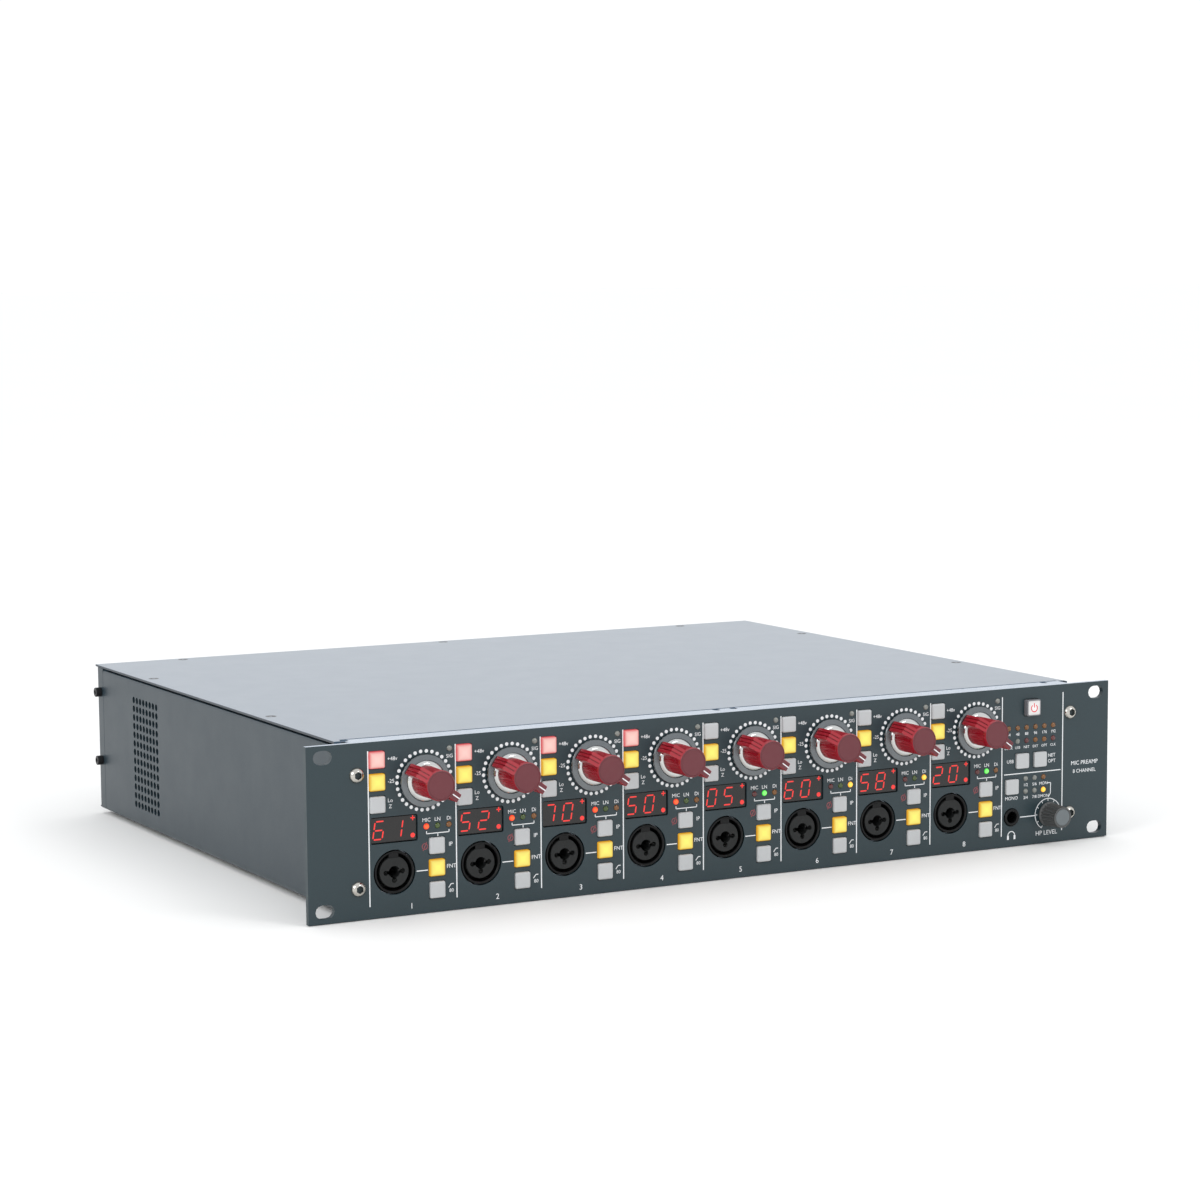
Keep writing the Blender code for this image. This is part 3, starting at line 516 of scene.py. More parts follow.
green_light = glowing("green_light", (0.30, 1.0, 0.22), (0.03, 0.6, 0.04), 0.95)
yellow_light = glowing("yellow_light", (1.0, 0.72, 0.12), (1.0, 0.38, 0.01), 1.0)
card_black = coated("card_black_paint", (0.010, 0.010, 0.011), 0.4, 0.25, 0.010, 1.5)
board_green = circuit_green("board_green", (0.006, 0.085, 0.045))
chip_black = coated("chip_black", (0.016, 0.016, 0.017), 0.45, 0.2, 0.008, 1.3)
shell_metal = coated("tinned_shell", (0.60, 0.60, 0.58), 0.3, 0.4, 0.006, 1.1, stretch=(1, 6, 1),
                     metallic=1.0)
nickel = coated("nickel_barrel", (0.58, 0.54, 0.48), 0.2, 0.3, 0.004, 1.1, metallic=1.0)
pale_plastic = coated("pale_plastic", (0.62, 0.60, 0.53), 0.45, 0.3, 0.008, 1.06)
grey_plastic = coated("grey_plastic", (0.34, 0.35, 0.34), 0.45, 0.3, 0.008, 1.08)
blue_plastic = coated("blue_plastic", (0.012, 0.16, 0.55), 0.35, 0.3, 0.006, 1.2)
moulded_black = coated("moulded_black", (0.012, 0.012, 0.013), 0.42, 0.25, 0.012, 1.4)
label_white = coated("label_white", (0.75, 0.75, 0.73), 0.6, 0.4, 0.004, 1.03)


def dress(piece, finish, body="chassis", slot=None, stands_for=()):
    """Give a piece its finish and its body; the slot argument is not used."""
    piece.data.materials.clear()
    piece.data.materials.append(finish)
    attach(piece, body)
    if stands_for:
        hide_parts(*stands_for)
    return piece


def dress_traced(node, name, finish, *rows, ease=0.2, sharp=60, angle=32):
    """A traced CAD node, its edges eased and shaded, that stands for that node."""
    piece = traced(node, name)
    if ease:
        soften(piece, ease, 2, sharp)
    return dress(smooth(piece, angle), finish, *rows, [node])


# ------------------------------------------------------------------ camera, light and floor

def studio():
    """The camera in front and to the left, a pale floor and soft light from all round."""
    camera_data = bpy.data.cameras.new("camera")
    camera_data.lens = 94.5
    camera_data.sensor_width = 36
    camera_data.shift_x = -0.076
    camera_data.shift_y = 0.0427
    camera = bpy.data.objects.new("camera", camera_data)
    bpy.context.scene.collection.objects.link(camera)
    bpy.context.scene.camera = camera
    place = on_panel(-580.81, PANEL_HIGH.z / MM - 318.52, 1403.11)
    forward = Vector((0.48957, 0.86348, -0.12132)).normalized()
    right = Vector((0.86970, -0.49356, -0.00333))
    right = (right - forward * right.dot(forward)).normalized()
    upward = right.cross(forward)
    turn = Matrix((right, upward, -forward)).transposed().to_4x4()
    camera.matrix_world = Matrix.Translation(place) @ turn

    bpy.context.scene.view_settings.view_transform = "Standard"
    world = bpy.data.worlds.new("soft_room")
    world.use_nodes = True
    background = world.node_tree.nodes["Background"]
    background.inputs["Color"].default_value = (0.955, 0.975, 1.0, 1)
    background.inputs["Strength"].default_value = 1.09
    bpy.context.scene.world = world

    for name, place, size, power in (("left_softbox", (-1.8, -0.9, 1.0), 0.8, 9.0),
                                     ("front_softbox", (0.7, -1.7, 1.6), 0.6, 7.0)):
        light_data = bpy.data.lights.new(name, "AREA")
        light_data.size = size
        light_data.energy = power
        light = bpy.data.objects.new(name, light_data)
        light.location = place
        light.rotation_euler = (Vector((0, 0, 0.04)) - Vector(place)).to_track_quat("-Z", "Y").to_euler()
        bpy.context.scene.collection.objects.link(light)

    deselect()
    bpy.ops.mesh.primitive_plane_add(size=80, location=(0, 0, -0.0004))
    floor = settle("floor")
    floor.data.materials.append(coated("floor_white", (0.95, 0.94, 0.92), 0.85, 6.0, 0.02, 1.01))


# ------------------------------------------------------------------ front panel and its print

LEFT_COLUMN = [centre_of(f"left_buttons_{channel}") for channel in CHANNELS]
RIGHT_COLUMN = [centre_of(f"right_buttons_{channel}") for channel in CHANNELS]
GAIN_PLACES = [hinge_place(f"gain_turn_{channel}") for channel in CHANNELS]
SOCKET_PLACES = [centre_of(f"combo_socket_{channel}") for channel in CHANNELS]
WINDOW = (1.0, 37.8, 25.3, 13.4)
SIGNAL_LED = (44.1, 6.4)
INPUT_LEDS = [(31.0, 44.6), (37.1, 44.6), (43.3, 44.6)]
STATUS_COLUMNS = [415.1 + 5.98 * step for step in range(6)]
STATUS_ROWS = (22.4, 29.7)
MONITOR_LEDS = [(426.7 + 6.0 * column, drop) for drop in (50.9, 58.0) for column in range(3)]
PANEL_SCREWS = [(26.6, 16.0), (26.6, 72.5), (456.4, 16.0), (456.4, 72.5)]
LED_HOLE = 1.55
DIVIDER_ENDS = (4.5, 82.0)
BRACKET_DROP = 48.3
RULE, FINE, THIN = 0.58, 0.45, 0.42
DIAL_RADIUS, DOT_RADIUS, DIAL_DOTS, DIAL_START = 14.7, 0.92, 30, 5.4


def round_corners(piece, corner, segments=3):
    """Round the four edges of a block that run into the panel."""
    bpy.ops.object.mode_set(mode="EDIT")
    bpy.ops.mesh.select_all(action="DESELECT")
    bpy.ops.object.mode_set(mode="OBJECT")
    for edge in piece.data.edges:
        ends = [piece.data.vertices[index].co for index in edge.vertices]
        edge.select = abs(ends[0].y - ends[1].y) > 0.1 * MM
    bpy.ops.object.mode_set(mode="EDIT")
    bpy.ops.mesh.select_mode(type="EDGE")
    bpy.ops.mesh.bevel(offset=corner * MM, segments=segments)
    bpy.ops.object.mode_set(mode="OBJECT")
    return piece


def rounded_cutter(name, centre, width, height, corner):
    """A bar through the panel with rounded corners."""
    cutter = panel_block(name, span(centre[0], width), span(centre[1], height), (-5, 2))
    return round_corners(cutter, corner)


def panel_face():
    """The slate plate with every opening cut and its edges eased."""
    plate = block("panel_face", PANEL_LOW, PANEL_HIGH)
    x, drop = LEFT_COLUMN[0]
    button = rounded_cutter("button_cut", (x, drop), CAP + 0.5, CAP + 0.5, 0.7)
    cutters = [button]
    for column in LEFT_COLUMN + RIGHT_COLUMN:
        for row in (-1, 0, 1):
            shift = ((column[0] - x) * MM, 0, (drop - column[1] - row * BUTTON_PITCH) * MM)
            if Vector(shift).length > 0:
                cutters.append(copied(button, "button_cut", shift))
    for name in ("usb_button", "network_button", "mono_button"):
        other = centre_of(name)
        cutters.append(copied(button, "button_cut", ((other[0] - x) * MM, 0, (drop - other[1]) * MM)))
    cutters.append(rounded_cutter("power_cut", centre_of("power_button"), 9.6, 9.6, 0.7))
    for divider in DIVIDERS:
        middle = (divider + WINDOW[0] + WINDOW[2] / 2, WINDOW[1] + WINDOW[3] / 2)
        cutters.append(rounded_cutter("window_cut", middle, WINDOW[2], WINDOW[3], 1.0))
        for x, drop in [SIGNAL_LED] + INPUT_LEDS:
            cutters.append(panel_bar("led_cut", (divider + x, drop), LED_HOLE, (-5, 2), 16))
    for place in SOCKET_PLACES:
        cutters.append(panel_bar("socket_cut", place, 11.3, (-5, 2), 48))
    for place in GAIN_PLACES + [hinge_place("headphone_level_turn")]:
        cutters.append(panel_bar("spindle_cut", place, 3.6, (-5, 2), 16))
    for place in [(x, drop) for x in STATUS_COLUMNS for drop in STATUS_ROWS] + MONITOR_LEDS:
        cutters.append(panel_bar("led_cut", place, LED_HOLE, (-5, 2), 16))
    cutters.append(panel_bar("jack_cut", centre_of("headphone_jack"), 5.1, (-5, 2), 32))
    width, height = panel_x(PANEL_HIGH.x), (PANEL_HIGH.z - PANEL_LOW.z) / MM
    for x in (8.75, width - 8.75):
        for drop in (5.95, height - 5.95):
            cutters.append(rounded_cutter("slot_cut", (x, drop), 10.0, 7.0, 3.49))
    carve(plate, join("panel_cuts", cutters))
    soften(plate, 0.22, 2, 40)
    dress(smooth(plate, 30), panel_paint, "chassis", "panel_paint", ["front_panel"])
    # The panel's top edge faces take the pale strip finish: painted highlight.
    plate.data.materials.append(strip_highlight_paint)
    for face in plate.data.polygons:
        if face.normal.z > 0.9 and face.center.z > PANEL_HIGH.z - 0.1 * MM:
            face.material_index = 1


def panel_screws():
    """Button-head screws with hexagon sockets."""
    first = on_panel(*PANEL_SCREWS[0])
    head = turned("panel_screw_1", first, [(0, 2.3), (1.2, 2.28), (2.4, 2.0), (3.3, 1.3), (3.9, 0.35),
                                           (3.9, -0.3), (0, -0.3)])
    carve(head, panel_bar("hex_cut", PANEL_SCREWS[0], 2.05, (-0.1, 3), 6))
    for screw in row_of(smooth(head, 40), "panel_screw", [on_panel(*place) for place in PANEL_SCREWS]):
        dress(screw, screw_metal, slot="connector_shell")


def printed_line(name, start, end, width=0.7, proud=0.03):
    """A straight printed stroke between two panel places."""
    run = Vector((end[0] - start[0], start[1] - end[1]))
    middle = ((start[0] + end[0]) / 2, (start[1] + end[1]) / 2)
    stroke = panel_block(name, span(middle[0], run.length), span(middle[1], width), (-proud, proud))
    return turn_about(stroke, on_panel(*middle), -math.degrees(math.atan2(run.y, run.x)))


def printed_arc(name, centre, radius, start, sweep, width=0.45, steps=24):
    """A printed arc, angles in degrees clockwise from the top."""
    strokes = []
    for step in range(steps):
        ends = [math.radians(start + sweep * (step + part) / steps) for part in (0, 1)]
        points = [(centre[0] + radius * math.sin(angle), centre[1] - radius * math.cos(angle))
                  for angle in ends]
        strokes.append(printed_line(name, *points, width=width))
    return strokes


def words(text, x, drop, size, align="CENTER"):
    """Lettering at a panel place, its size in millimetres."""
    return lettering("print", text, on_panel(x, drop), size, align=align)


def channel_print(channel):
    """One channel's divider, dial dots, labels and brackets, as one piece of ink."""
    left, gain, socket = DIVIDERS[channel - 1], GAIN_PLACES[channel - 1], SOCKET_PLACES[channel - 1]
    dot = panel_bar("print", (gain[0], gain[1] - DIAL_RADIUS), DOT_RADIUS, (-0.05, 0.09), 20)
    ink = [turn_about(dot, on_panel(*gain), DIAL_START)]
    for step in range(1, DIAL_DOTS):
        ink.append(turn_about(copied(dot, "print", (0, 0, 0)), on_panel(*gain), 360 / DIAL_DOTS * step))
    x, drop = LEFT_COLUMN[channel - 1]
    labels = [("+48v", x + 8.4, drop - BUTTON_PITCH, 2.7), ("-25", x + 7.6, drop, 2.7),
              ("Lo", x + 7.0, drop + BUTTON_PITCH - 1.6, 2.7), ("Z", x + 7.0, drop + BUTTON_PITCH + 1.4, 2.7),
              ("SIG", left + SIGNAL_LED[0], SIGNAL_LED[1] + 3.9, 2.6), (str(channel), left + 22.5, 83.9, 4.0)]
    labels += [(text, left + across, down - 3.2, 2.7)
               for text, (across, down) in zip(("MIC", "LN", "Di"), INPUT_LEDS)]
    x, drop = RIGHT_COLUMN[channel - 1]
    foot = drop + BUTTON_PITCH
    labels += [("IP", x + 7.6, drop - BUTTON_PITCH, 2.9), ("FNT", x + 7.9, drop, 2.9),
               ("80", x + 7.8, foot + 1.2, 2.5)]
    ink += [words(*label) for label in labels]
    low, high = left + INPUT_LEDS[0][0], left + INPUT_LEDS[2][0]
    strokes = [(*[(left, end) for end in DIVIDER_ENDS], RULE),
               ((low, BRACKET_DROP), (high, BRACKET_DROP), THIN)]
    for across, end in ((low, 47.0), ((low + high) / 2, 50.0), (high, 47.0)):
        strokes.append(((across, end), (across, BRACKET_DROP), THIN))
    strokes += [((x + 6.2, foot - 0.4), (x + 7.6, foot - 2.2), 0.4),
                ((x + 7.6, foot - 2.2), (x + 9.0, foot - 2.2), 0.4),
                ((socket[0] + 11.9, socket[1] + 0.7), (x - 5.0, socket[1] + 0.7), 0.48)]
    ink += [printed_line("print", *stroke) for stroke in strokes]
    dress(join(f"channel_print_{channel}", ink), white_ink)
    top = drop - BUTTON_PITCH
    phase = printed_arc("print", (x - 6.5, top), 1.45, 0, 360, THIN, 20)
    phase.append(printed_line("print", (x - 7.5, top + 2.1), (x - 5.5, top - 2.1), THIN))
    dress(join(f"phase_sign_{channel}", phase), red_ink)


def monitor_print():
    """Lines, labels and the level dial of the right-hand section."""
    labels = [("USB", 416.2, 40.8, 2.7), ("NET", 441.6, 39.2, 2.7, "LEFT"), ("OPT", 441.6, 42.4, 2.7, "LEFT"),
              ("MONO", 417.2, 61.3, 2.7), ("HP LEVEL", 441.0, 82.5, 3.6), ("MIC PREAMP", 466.6, 45.0, 3.3),
              ("8 CHANNEL", 466.6, 49.6, 2.9)]
    for drop, size, texts in ((25.9, 2.35, ("44", "48", "88", "96", "176", "192")),
                              (33.3, 2.05, ("LOCK", "USB", "NET", "EXT", "OPT", "CLK"))):
        labels += [(text, x, drop, size) for text, x in zip(texts, STATUS_COLUMNS)]
    for text, (x, drop) in zip(("1/2", "5/6", "MON", "3/4", "7/8", "DMON"), MONITOR_LEDS):
        labels.append((text, x, drop + 3.6, 2.4))
    ink = [words(*label) for label in labels]

    level, jack = hinge_place("headphone_level_turn"), centre_of("headphone_jack")
    strokes = [((412.2, 47.8), (450.3, 47.8), 0.5),
               ((jack[0] + 5.8, jack[1] + 0.4), (433.2, jack[1] + 0.4), 0.5)]
    for x in (DIVIDERS[-1] + CHANNEL_PITCH, 451.5):
        strokes.append((*[(x, end) for end in DIVIDER_ENDS], RULE))
    for step in range(11):
        angle = math.radians(-150 + 30 * step)
        ends = [(level[0] + radius * math.sin(angle), level[1] - radius * math.cos(angle))
                for radius in (7.3, 8.7)]
        strokes.append((*ends, 0.4))
    bracket = ((441.3, 54.5), (443.6, 54.5), (443.6, 60.4), (442.0, 62.6))
    strokes += [(*ends, FINE) for ends in zip(bracket, bracket[1:])]
    for x in (jack[0] - 2.2, jack[0] + 2.2):
        strokes.append(((x, 81.9), (x, 84.2), 1.2))
    ink += [printed_line("print", *stroke) for stroke in strokes]
    ink += printed_arc("print", level, 8.7, -150, 300, 0.4, 30)
    ink += printed_arc("print", (jack[0], 82.0), 2.3, -90, 180, 0.5, 14)
    dress(join("monitor_print", ink), white_ink)


# ------------------------------------------------------------------ gain knobs

def select_vertices(piece, wanted):
    """Leave edit mode's selection as the vertices that a test on their place picks."""
    pick(piece)
    bpy.ops.object.mode_set(mode="EDIT")
    bpy.ops.mesh.select_mode(type="VERT")
    bpy.ops.mesh.select_all(action="DESELECT")
    bpy.ops.object.mode_set(mode="OBJECT")
    for vertex in piece.data.vertices:
        vertex.select = wanted(vertex.co)
    bpy.ops.object.mode_set(mode="EDIT")


FLUTES = 30


def press_flutes(piece, centre, count, low, high, scale):
    """Draw in every other line of a turned side between two heights, to leave upright ribs."""
    def in_groove(place):
        height = (centre.y - place.y) / MM
        angle = math.atan2(place.z - centre.z, place.x - centre.x)
        return low < height < high and round(angle / math.tau * 2 * count) % 2 == 1

    select_vertices(piece, in_groove)
    bpy.ops.transform.resize(value=(scale, 1, scale), center_override=centre)
    bpy.ops.object.mode_set(mode="OBJECT")


def knob_body(name, centre):
    """The fluted body with its rim, and the hollow that takes the cap."""
    body = turned(name, centre, [(0, 2.7), (8.3, 2.7), (8.3, 3.3), (7.8, 3.6), (7.5, 17.6), (7.7, 18.0),
                                 (7.7, 19.3), (7.45, 19.75), (7.05, 19.95), (6.75, 19.9), (6.7, 19.5),
                                 (0, 19.5)], 2 * FLUTES)
    press_flutes(body, centre, FLUTES, 3.5, 17.8, 0.92)
    return body


def knob_wing(name, centre, reach, top, half):
    """A tall rib along +X with a rounded end."""
    return soften(near(name, centre, (4.0, -top, -half), (reach, -2.75, half)), 0.5, 3, 40)


def knob_pointer(centre):
    """The narrow wing, with the slit that holds its white line."""
    wing = knob_wing("pointer", centre, 12.5, 19.3, 2.3)
    carve(wing, near("slit_cut", centre, (8.0, -20.3, -0.3), (13.0, -19.0, 0.3)))
    return carve(wing, near("slit_cut", centre, (12.3, -20.3, -0.3), (13.0, -16.9, 0.3)))


def knob_tail(centre):
    """The broad wing, its top sloped off, with two grooves that run down the slope and the end."""
    wing = knob_wing("tail", centre, 12.3, 19.6, 3.0)
    corner = centre + Vector((12.5, -15.2, 0)) * MM
    slope = near("slope_cut", corner, (-9, -6, -4), (4, 0, 4))
    carve(wing, turn_about(slope, corner, 40, "Z"))
    for side in (-1.0, 1.0):
        carve(wing, near("groove_cut", centre, (11.5, -16.5, side - 0.32), (13.5, -3.4, side + 0.32)))
        along = near("groove_cut", corner, (-6.0, -1.5, side - 0.32), (3.0, 0.9, side + 0.32))
        carve(wing, turn_about(along, corner, 40, "Z"))
    return wing


def top_faces(piece, height):
    """Give the cap's pale rose to the faces that look forward above a height: a painted sheen on the red
    body.
    """
    piece.data.materials.append(cap_rose_and_sheen)
    for face in piece.data.polygons:
        if face.center.y < height and face.normal.y < -0.8:
            face.material_index = 1


def gain_knobs():
    """Model the first knob at rest, then copy it to the other channels."""
    centre = on_panel(*GAIN_PLACES[0])
    rest_angle = 36.0
    skirt = turned("gain_skirt_1", centre, [(0, 0.6), (12.9, 0.6), (13.3, 0.85), (13.3, 1.7), (13.05, 2.1),
                                            (12.5, 2.3), (10.4, 2.6), (10.2, 2.35), (0, 2.35)], 96)
    ring = turned("gain_ring_1", centre, [(0, 2.3), (10.0, 2.3), (10.1, 2.7), (9.9, 3.1), (9.3, 3.7),
                                          (8.8, 3.95), (8.3, 4.0), (0, 4.0)], 96)
    pointer = turn_about(knob_pointer(centre), centre, rest_angle)
    tail = turn_about(knob_tail(centre), centre, rest_angle + 180)
    body = weld(knob_body("gain_body_1", centre), pointer, tail)
    cap = turned("gain_cap_1", centre, [(0, 19.4), (6.65, 19.4), (6.65, 19.86), (6.5, 19.96), (0, 20.0)], 64)
    line = near("gain_line_1", centre, (7.75, -19.28, -0.29), (12.45, -18.9, 0.29))
    end = near("line_end", centre, (12.2, -19.2, -0.29), (12.48, -17.0, 0.29))
    soften(weld(line, end), 0.06, 1)
    turn_about(line, centre, rest_angle)
    parts = (("gain_skirt", smooth(skirt, 25), None), ("gain_ring", smooth(ring, 35), bright_metal),
             ("gain_body", smooth(body, 32), knob_red), ("gain_cap", smooth(cap, 30), cap_rose_and_sheen),
             ("gain_line", line, white_ink))
    for channel, place in zip(CHANNELS, GAIN_PLACES):
        shift = on_panel(*place) - centre
        knob = f"gain_knob_{channel}"
        spun = spun_metal(f"spun_skirt_{channel}", (0.180, 0.194, 0.203), 0.24, centre + shift, 0.32)
        for kind, first, finish in parts:
            piece = first if channel == 1 else copied(first, f"{kind}_{channel}", shift)
            dress(piece, finish or spun, knob, "red_knob", [knob] if kind == "gain_body" else ())
            # The body's forward faces take the cap's rose: painted sheen.
            if kind == "gain_body":
                top_faces(piece, centre.y - 19.2 * MM)


# ------------------------------------------------------------------ square buttons

def lit_finishes():
    """Finishes of the lit caps, one for each colour and column."""
    pitch = (CHANNEL_PITCH * MM, 1.0, BUTTON_PITCH * MM)
    made = {}
    for side, column in (("left", LEFT_COLUMN[0]), ("right", RIGHT_COLUMN[0])):
        centre = on_panel(*column)
        made[side, "red"] = lit_cap(f"lit_red_{side}", RED_CORE, RED_RIM, 0.95, centre, pitch)
        made[side, "yellow"] = lit_cap(f"lit_yellow_{side}", YELLOW_CORE, YELLOW_RIM, 0.95, centre, pitch)
    return made


def square_cap(name, x, drop, side, proud, sink):
    """A button cap with rounded corners and an eased edge round its face."""
    cap = round_corners(panel_block(name, span(x, side), span(drop, side), (-sink, proud)), 0.95, 4)
    return smooth(soften(cap, 0.4, 3, 50), 30)


def channel_buttons():
    """Three caps and a carrier for each column; the top left ones show phantom power."""
    finishes = lit_finishes()
    phantom_on = range(1, 5)
    x, drop = LEFT_COLUMN[0]
    first = square_cap("cap_pattern", x, drop, CAP, CAP_PROUD, 5.9)
    carrier = panel_block("carrier_pattern", span(x, 6), span(drop, 2 * BUTTON_PITCH + 6), (-7.45, -5.7))
    soften(carrier, 0.3, 2)
    for side, columns in (("left", LEFT_COLUMN), ("right", RIGHT_COLUMN)):
        for channel, (column_x, column_drop) in zip(CHANNELS, columns):
            body = f"{side}_buttons_{channel}"
            for row in (-1, 0, 1):
                shift = ((column_x - x) * MM, 0, (drop - column_drop - row * BUTTON_PITCH) * MM)
                cap = copied(first, f"{side}_cap_{channel}_{row + 2}", shift)
                finish = plain_cap
                if row == 0:
                    finish = finishes[side, "yellow"]
                elif row == -1 and side == "left" and channel in phantom_on:
                    finish = finishes[side, "red"]
                dress(cap, finish, body, "translucent_cap")
            backing = copied(carrier, f"{side}_carrier_{channel}",
                             ((column_x - x) * MM, 0, (drop - column_drop) * MM))
            dress(backing, moulded_black, body, "translucent_cap", [body])
    bpy.data.objects.remove(first)
    bpy.data.objects.remove(carrier)


def section_buttons():
    """The power button with its generic sign, and the three caps under it."""
    for name in ("usb_button", "network_button", "mono_button"):
        x, drop = centre_of(name)
        dress(square_cap(f"{name}_cap", x, drop, CAP, CAP_PROUD, SINGLE_CAP_SINK), plain_cap, name,
              "translucent_cap", [name])
    x, drop = centre_of("power_button")
    frame_cap = square_cap("power_cap", x, drop, 9.0, 2.9, SINGLE_CAP_SINK)
    dress(frame_cap, coated("power_cap_grey", (0.16, 0.16, 0.17), 0.3, 0.3, 0.006), "power_button",
          "translucent_cap", ["power_button"])
    face = panel_block("power_face", span(x, 7.8), span(drop, 7.8), (2.7, 2.96))
    soften(round_corners(face, 0.9, 4), 0.1, 1, 50)
    white_glow = lit_cap("power_face_glow", (1.0, 0.98, 0.97), (0.9, 0.88, 0.88), 0.75, on_panel(x, drop),
                         (1.0, 1.0, 1.0))
    dress(face, white_glow, "power_button", "translucent_cap")
    sign = printed_arc("print", (x, drop + 0.2), 2.0, 35, 290, 0.55, 24)
    sign.append(printed_line("print", (x, drop - 2.6), (x, drop - 0.2), 0.55))
    mark = join("power_sign", sign)
    mark.data.transform(Matrix.Translation((0, -2.96 * MM, 0)))
    dress(mark, glowing("power_sign_red", (0.8, 0.02, 0.04), (0.7, 0.01, 0.03), 0.5), "power_button",
          "translucent_cap")


# ------------------------------------------------------------------ displays and small lights

SEGMENTS = {"0": "abcdef", "1": "bc", "2": "abged", "5": "afgcd", "6": "afgedc", "7": "abc",
            "8": "abcdefg"}
READINGS = ("61", "52", "70", "50", "05", "60", "58", "20")
DIGIT_WIDTH, DIGIT_HEIGHT, STROKE = 5.0, 8.9, 0.68
DISPLAY_DEPTH = 0.9
GLOW_LAYER = (-DISPLAY_DEPTH - 0.05, -DISPLAY_DEPTH + 0.06)


def segment(x, drop, length, upright):
    """One glowing bar with pointed ends."""
    bar = panel_block("segment", span(x, length), span(drop, STROKE), GLOW_LAYER)
    middle = on_panel(x, drop)
    for side in (-1, 1):
        select_vertices(bar, lambda place: (place.x - middle.x) * side > 0)
        bpy.ops.mesh.select_mode(type="FACE")
        bpy.ops.mesh.extrude_region_move(TRANSFORM_OT_translate={"value": (side * STROKE * 0.42 * MM, 0, 0)})
        bpy.ops.transform.resize(value=(1, 1, 0.08), center_override=middle)
        bpy.ops.object.mode_set(mode="OBJECT")
    return turn_about(bar, middle, 90) if upright else bar


def digit(figure, x, drop):
    """A seven-segment figure that leans to the right; x and drop are its middle."""
    half, tall = DIGIT_WIDTH / 2, DIGIT_HEIGHT / 2
    across, upright = DIGIT_WIDTH - 1.5, tall - 1.45
    places = {"a": (x, drop - tall, across, False), "g": (x, drop, across, False),
              "d": (x, drop + tall, across, False), "f": (x - half, drop - tall / 2, upright, True),
              "b": (x + half, drop - tall / 2, upright, True),
              "e": (x - half, drop + tall / 2, upright, True),
              "c": (x + half, drop + tall / 2, upright, True)}
    bars = [segment(*places[letter]) for letter in SEGMENTS[figure]]
    lean = math.tan(math.radians(9))
    foot = on_panel(x, drop).z
    for bar in bars:
        for vertex in bar.data.vertices:
            vertex.co.x += (vertex.co.z - foot) * lean
    return bars


def displays():
    """Dark window, two figures, a plus sign and a point for each channel."""
    width, height = WINDOW[2:]
    for channel, left, reading in zip(CHANNELS, DIVIDERS, READINGS):
        x, drop = left + WINDOW[0], WINDOW[1]
        glass = panel_block(f"display_window_{channel}", (x + 0.1, x + width - 0.1),
                            (drop + 0.1, drop + height - 0.1), (-4.0, -DISPLAY_DEPTH))
        dress(soften(glass, 0.5, 2), window_glass, slot="board")
        middle = drop + height / 2
        bars = digit(reading[0], x + 4.6, middle) + digit(reading[1], x + 14.6, middle)
        plus = (x + 23.0, drop + 1.9)
        for dx, dz in ((1.2, 0), (0, 1.2)):
            ends = (plus[0] - dx, plus[1] - dz), (plus[0] + dx, plus[1] + dz)
            stroke = printed_line("segment", *ends, width=0.55, proud=0.05)
            stroke.data.transform(Matrix.Translation((0, DISPLAY_DEPTH * MM, 0)))
            bars.append(stroke)
        bars.append(panel_bar("segment", (x + 22.9, drop + height - 2.8), 1.2, GLOW_LAYER, 20))
        dress(join(f"display_figures_{channel}", bars), digit_glow, slot="board")


def small_lights():
    """Domed lenses in their holes, lit as the unit is set."""
    first = turned("lens_pattern", on_panel(0, 0), [(0, -3), (1.5, -3), (1.5, -0.15), (1.38, 0.25),
                                                    (1.05, 0.55), (0.55, 0.75), (0, 0.8)], 24)
    smooth(first, 60)
    places = []
    selected = ("MIC", "MIC", "MIC", "MIC", "LN", "DI", "DI", "LN")
    for channel, left in zip(CHANNELS, DIVIDERS):
        places.append((f"signal_light_{channel}", left + SIGNAL_LED[0], SIGNAL_LED[1], clear_lens))
        for name, (x, drop), on, off in zip(("MIC", "LN", "DI"), INPUT_LEDS,
                                            (red_light, green_light, yellow_light),
                                            (dark_red_lens, green_lens, amber_lens)):
            finish = on if selected[channel - 1] == name else off
            places.append((f"{name.lower()}_light_{channel}", left + x, drop, finish))
    status = (amber_lens,) * 6, (dark_red_lens, clear_lens, dark_red_lens, amber_lens, amber_lens,
                                 dark_red_lens)
    for row, (drop, finishes) in enumerate(zip(STATUS_ROWS, status)):
        for column, (x, finish) in enumerate(zip(STATUS_COLUMNS, finishes)):
            places.append((f"status_light_{row + 1}_{column + 1}", x, drop, finish))
    for number, ((x, drop), finish) in enumerate(zip(MONITOR_LEDS, (clear_lens, clear_lens, amber_lens,
                                                                    clear_lens, clear_lens, yellow_light))):
        places.append((f"monitor_light_{number + 1}", x, drop, finish))
    for name, x, drop, finish in places:
        dress(copied(first, name, on_panel(x, drop) - on_panel(0, 0)), finish, slot="board")
    bpy.data.objects.remove(first)


# ------------------------------------------------------------------ sockets on the front

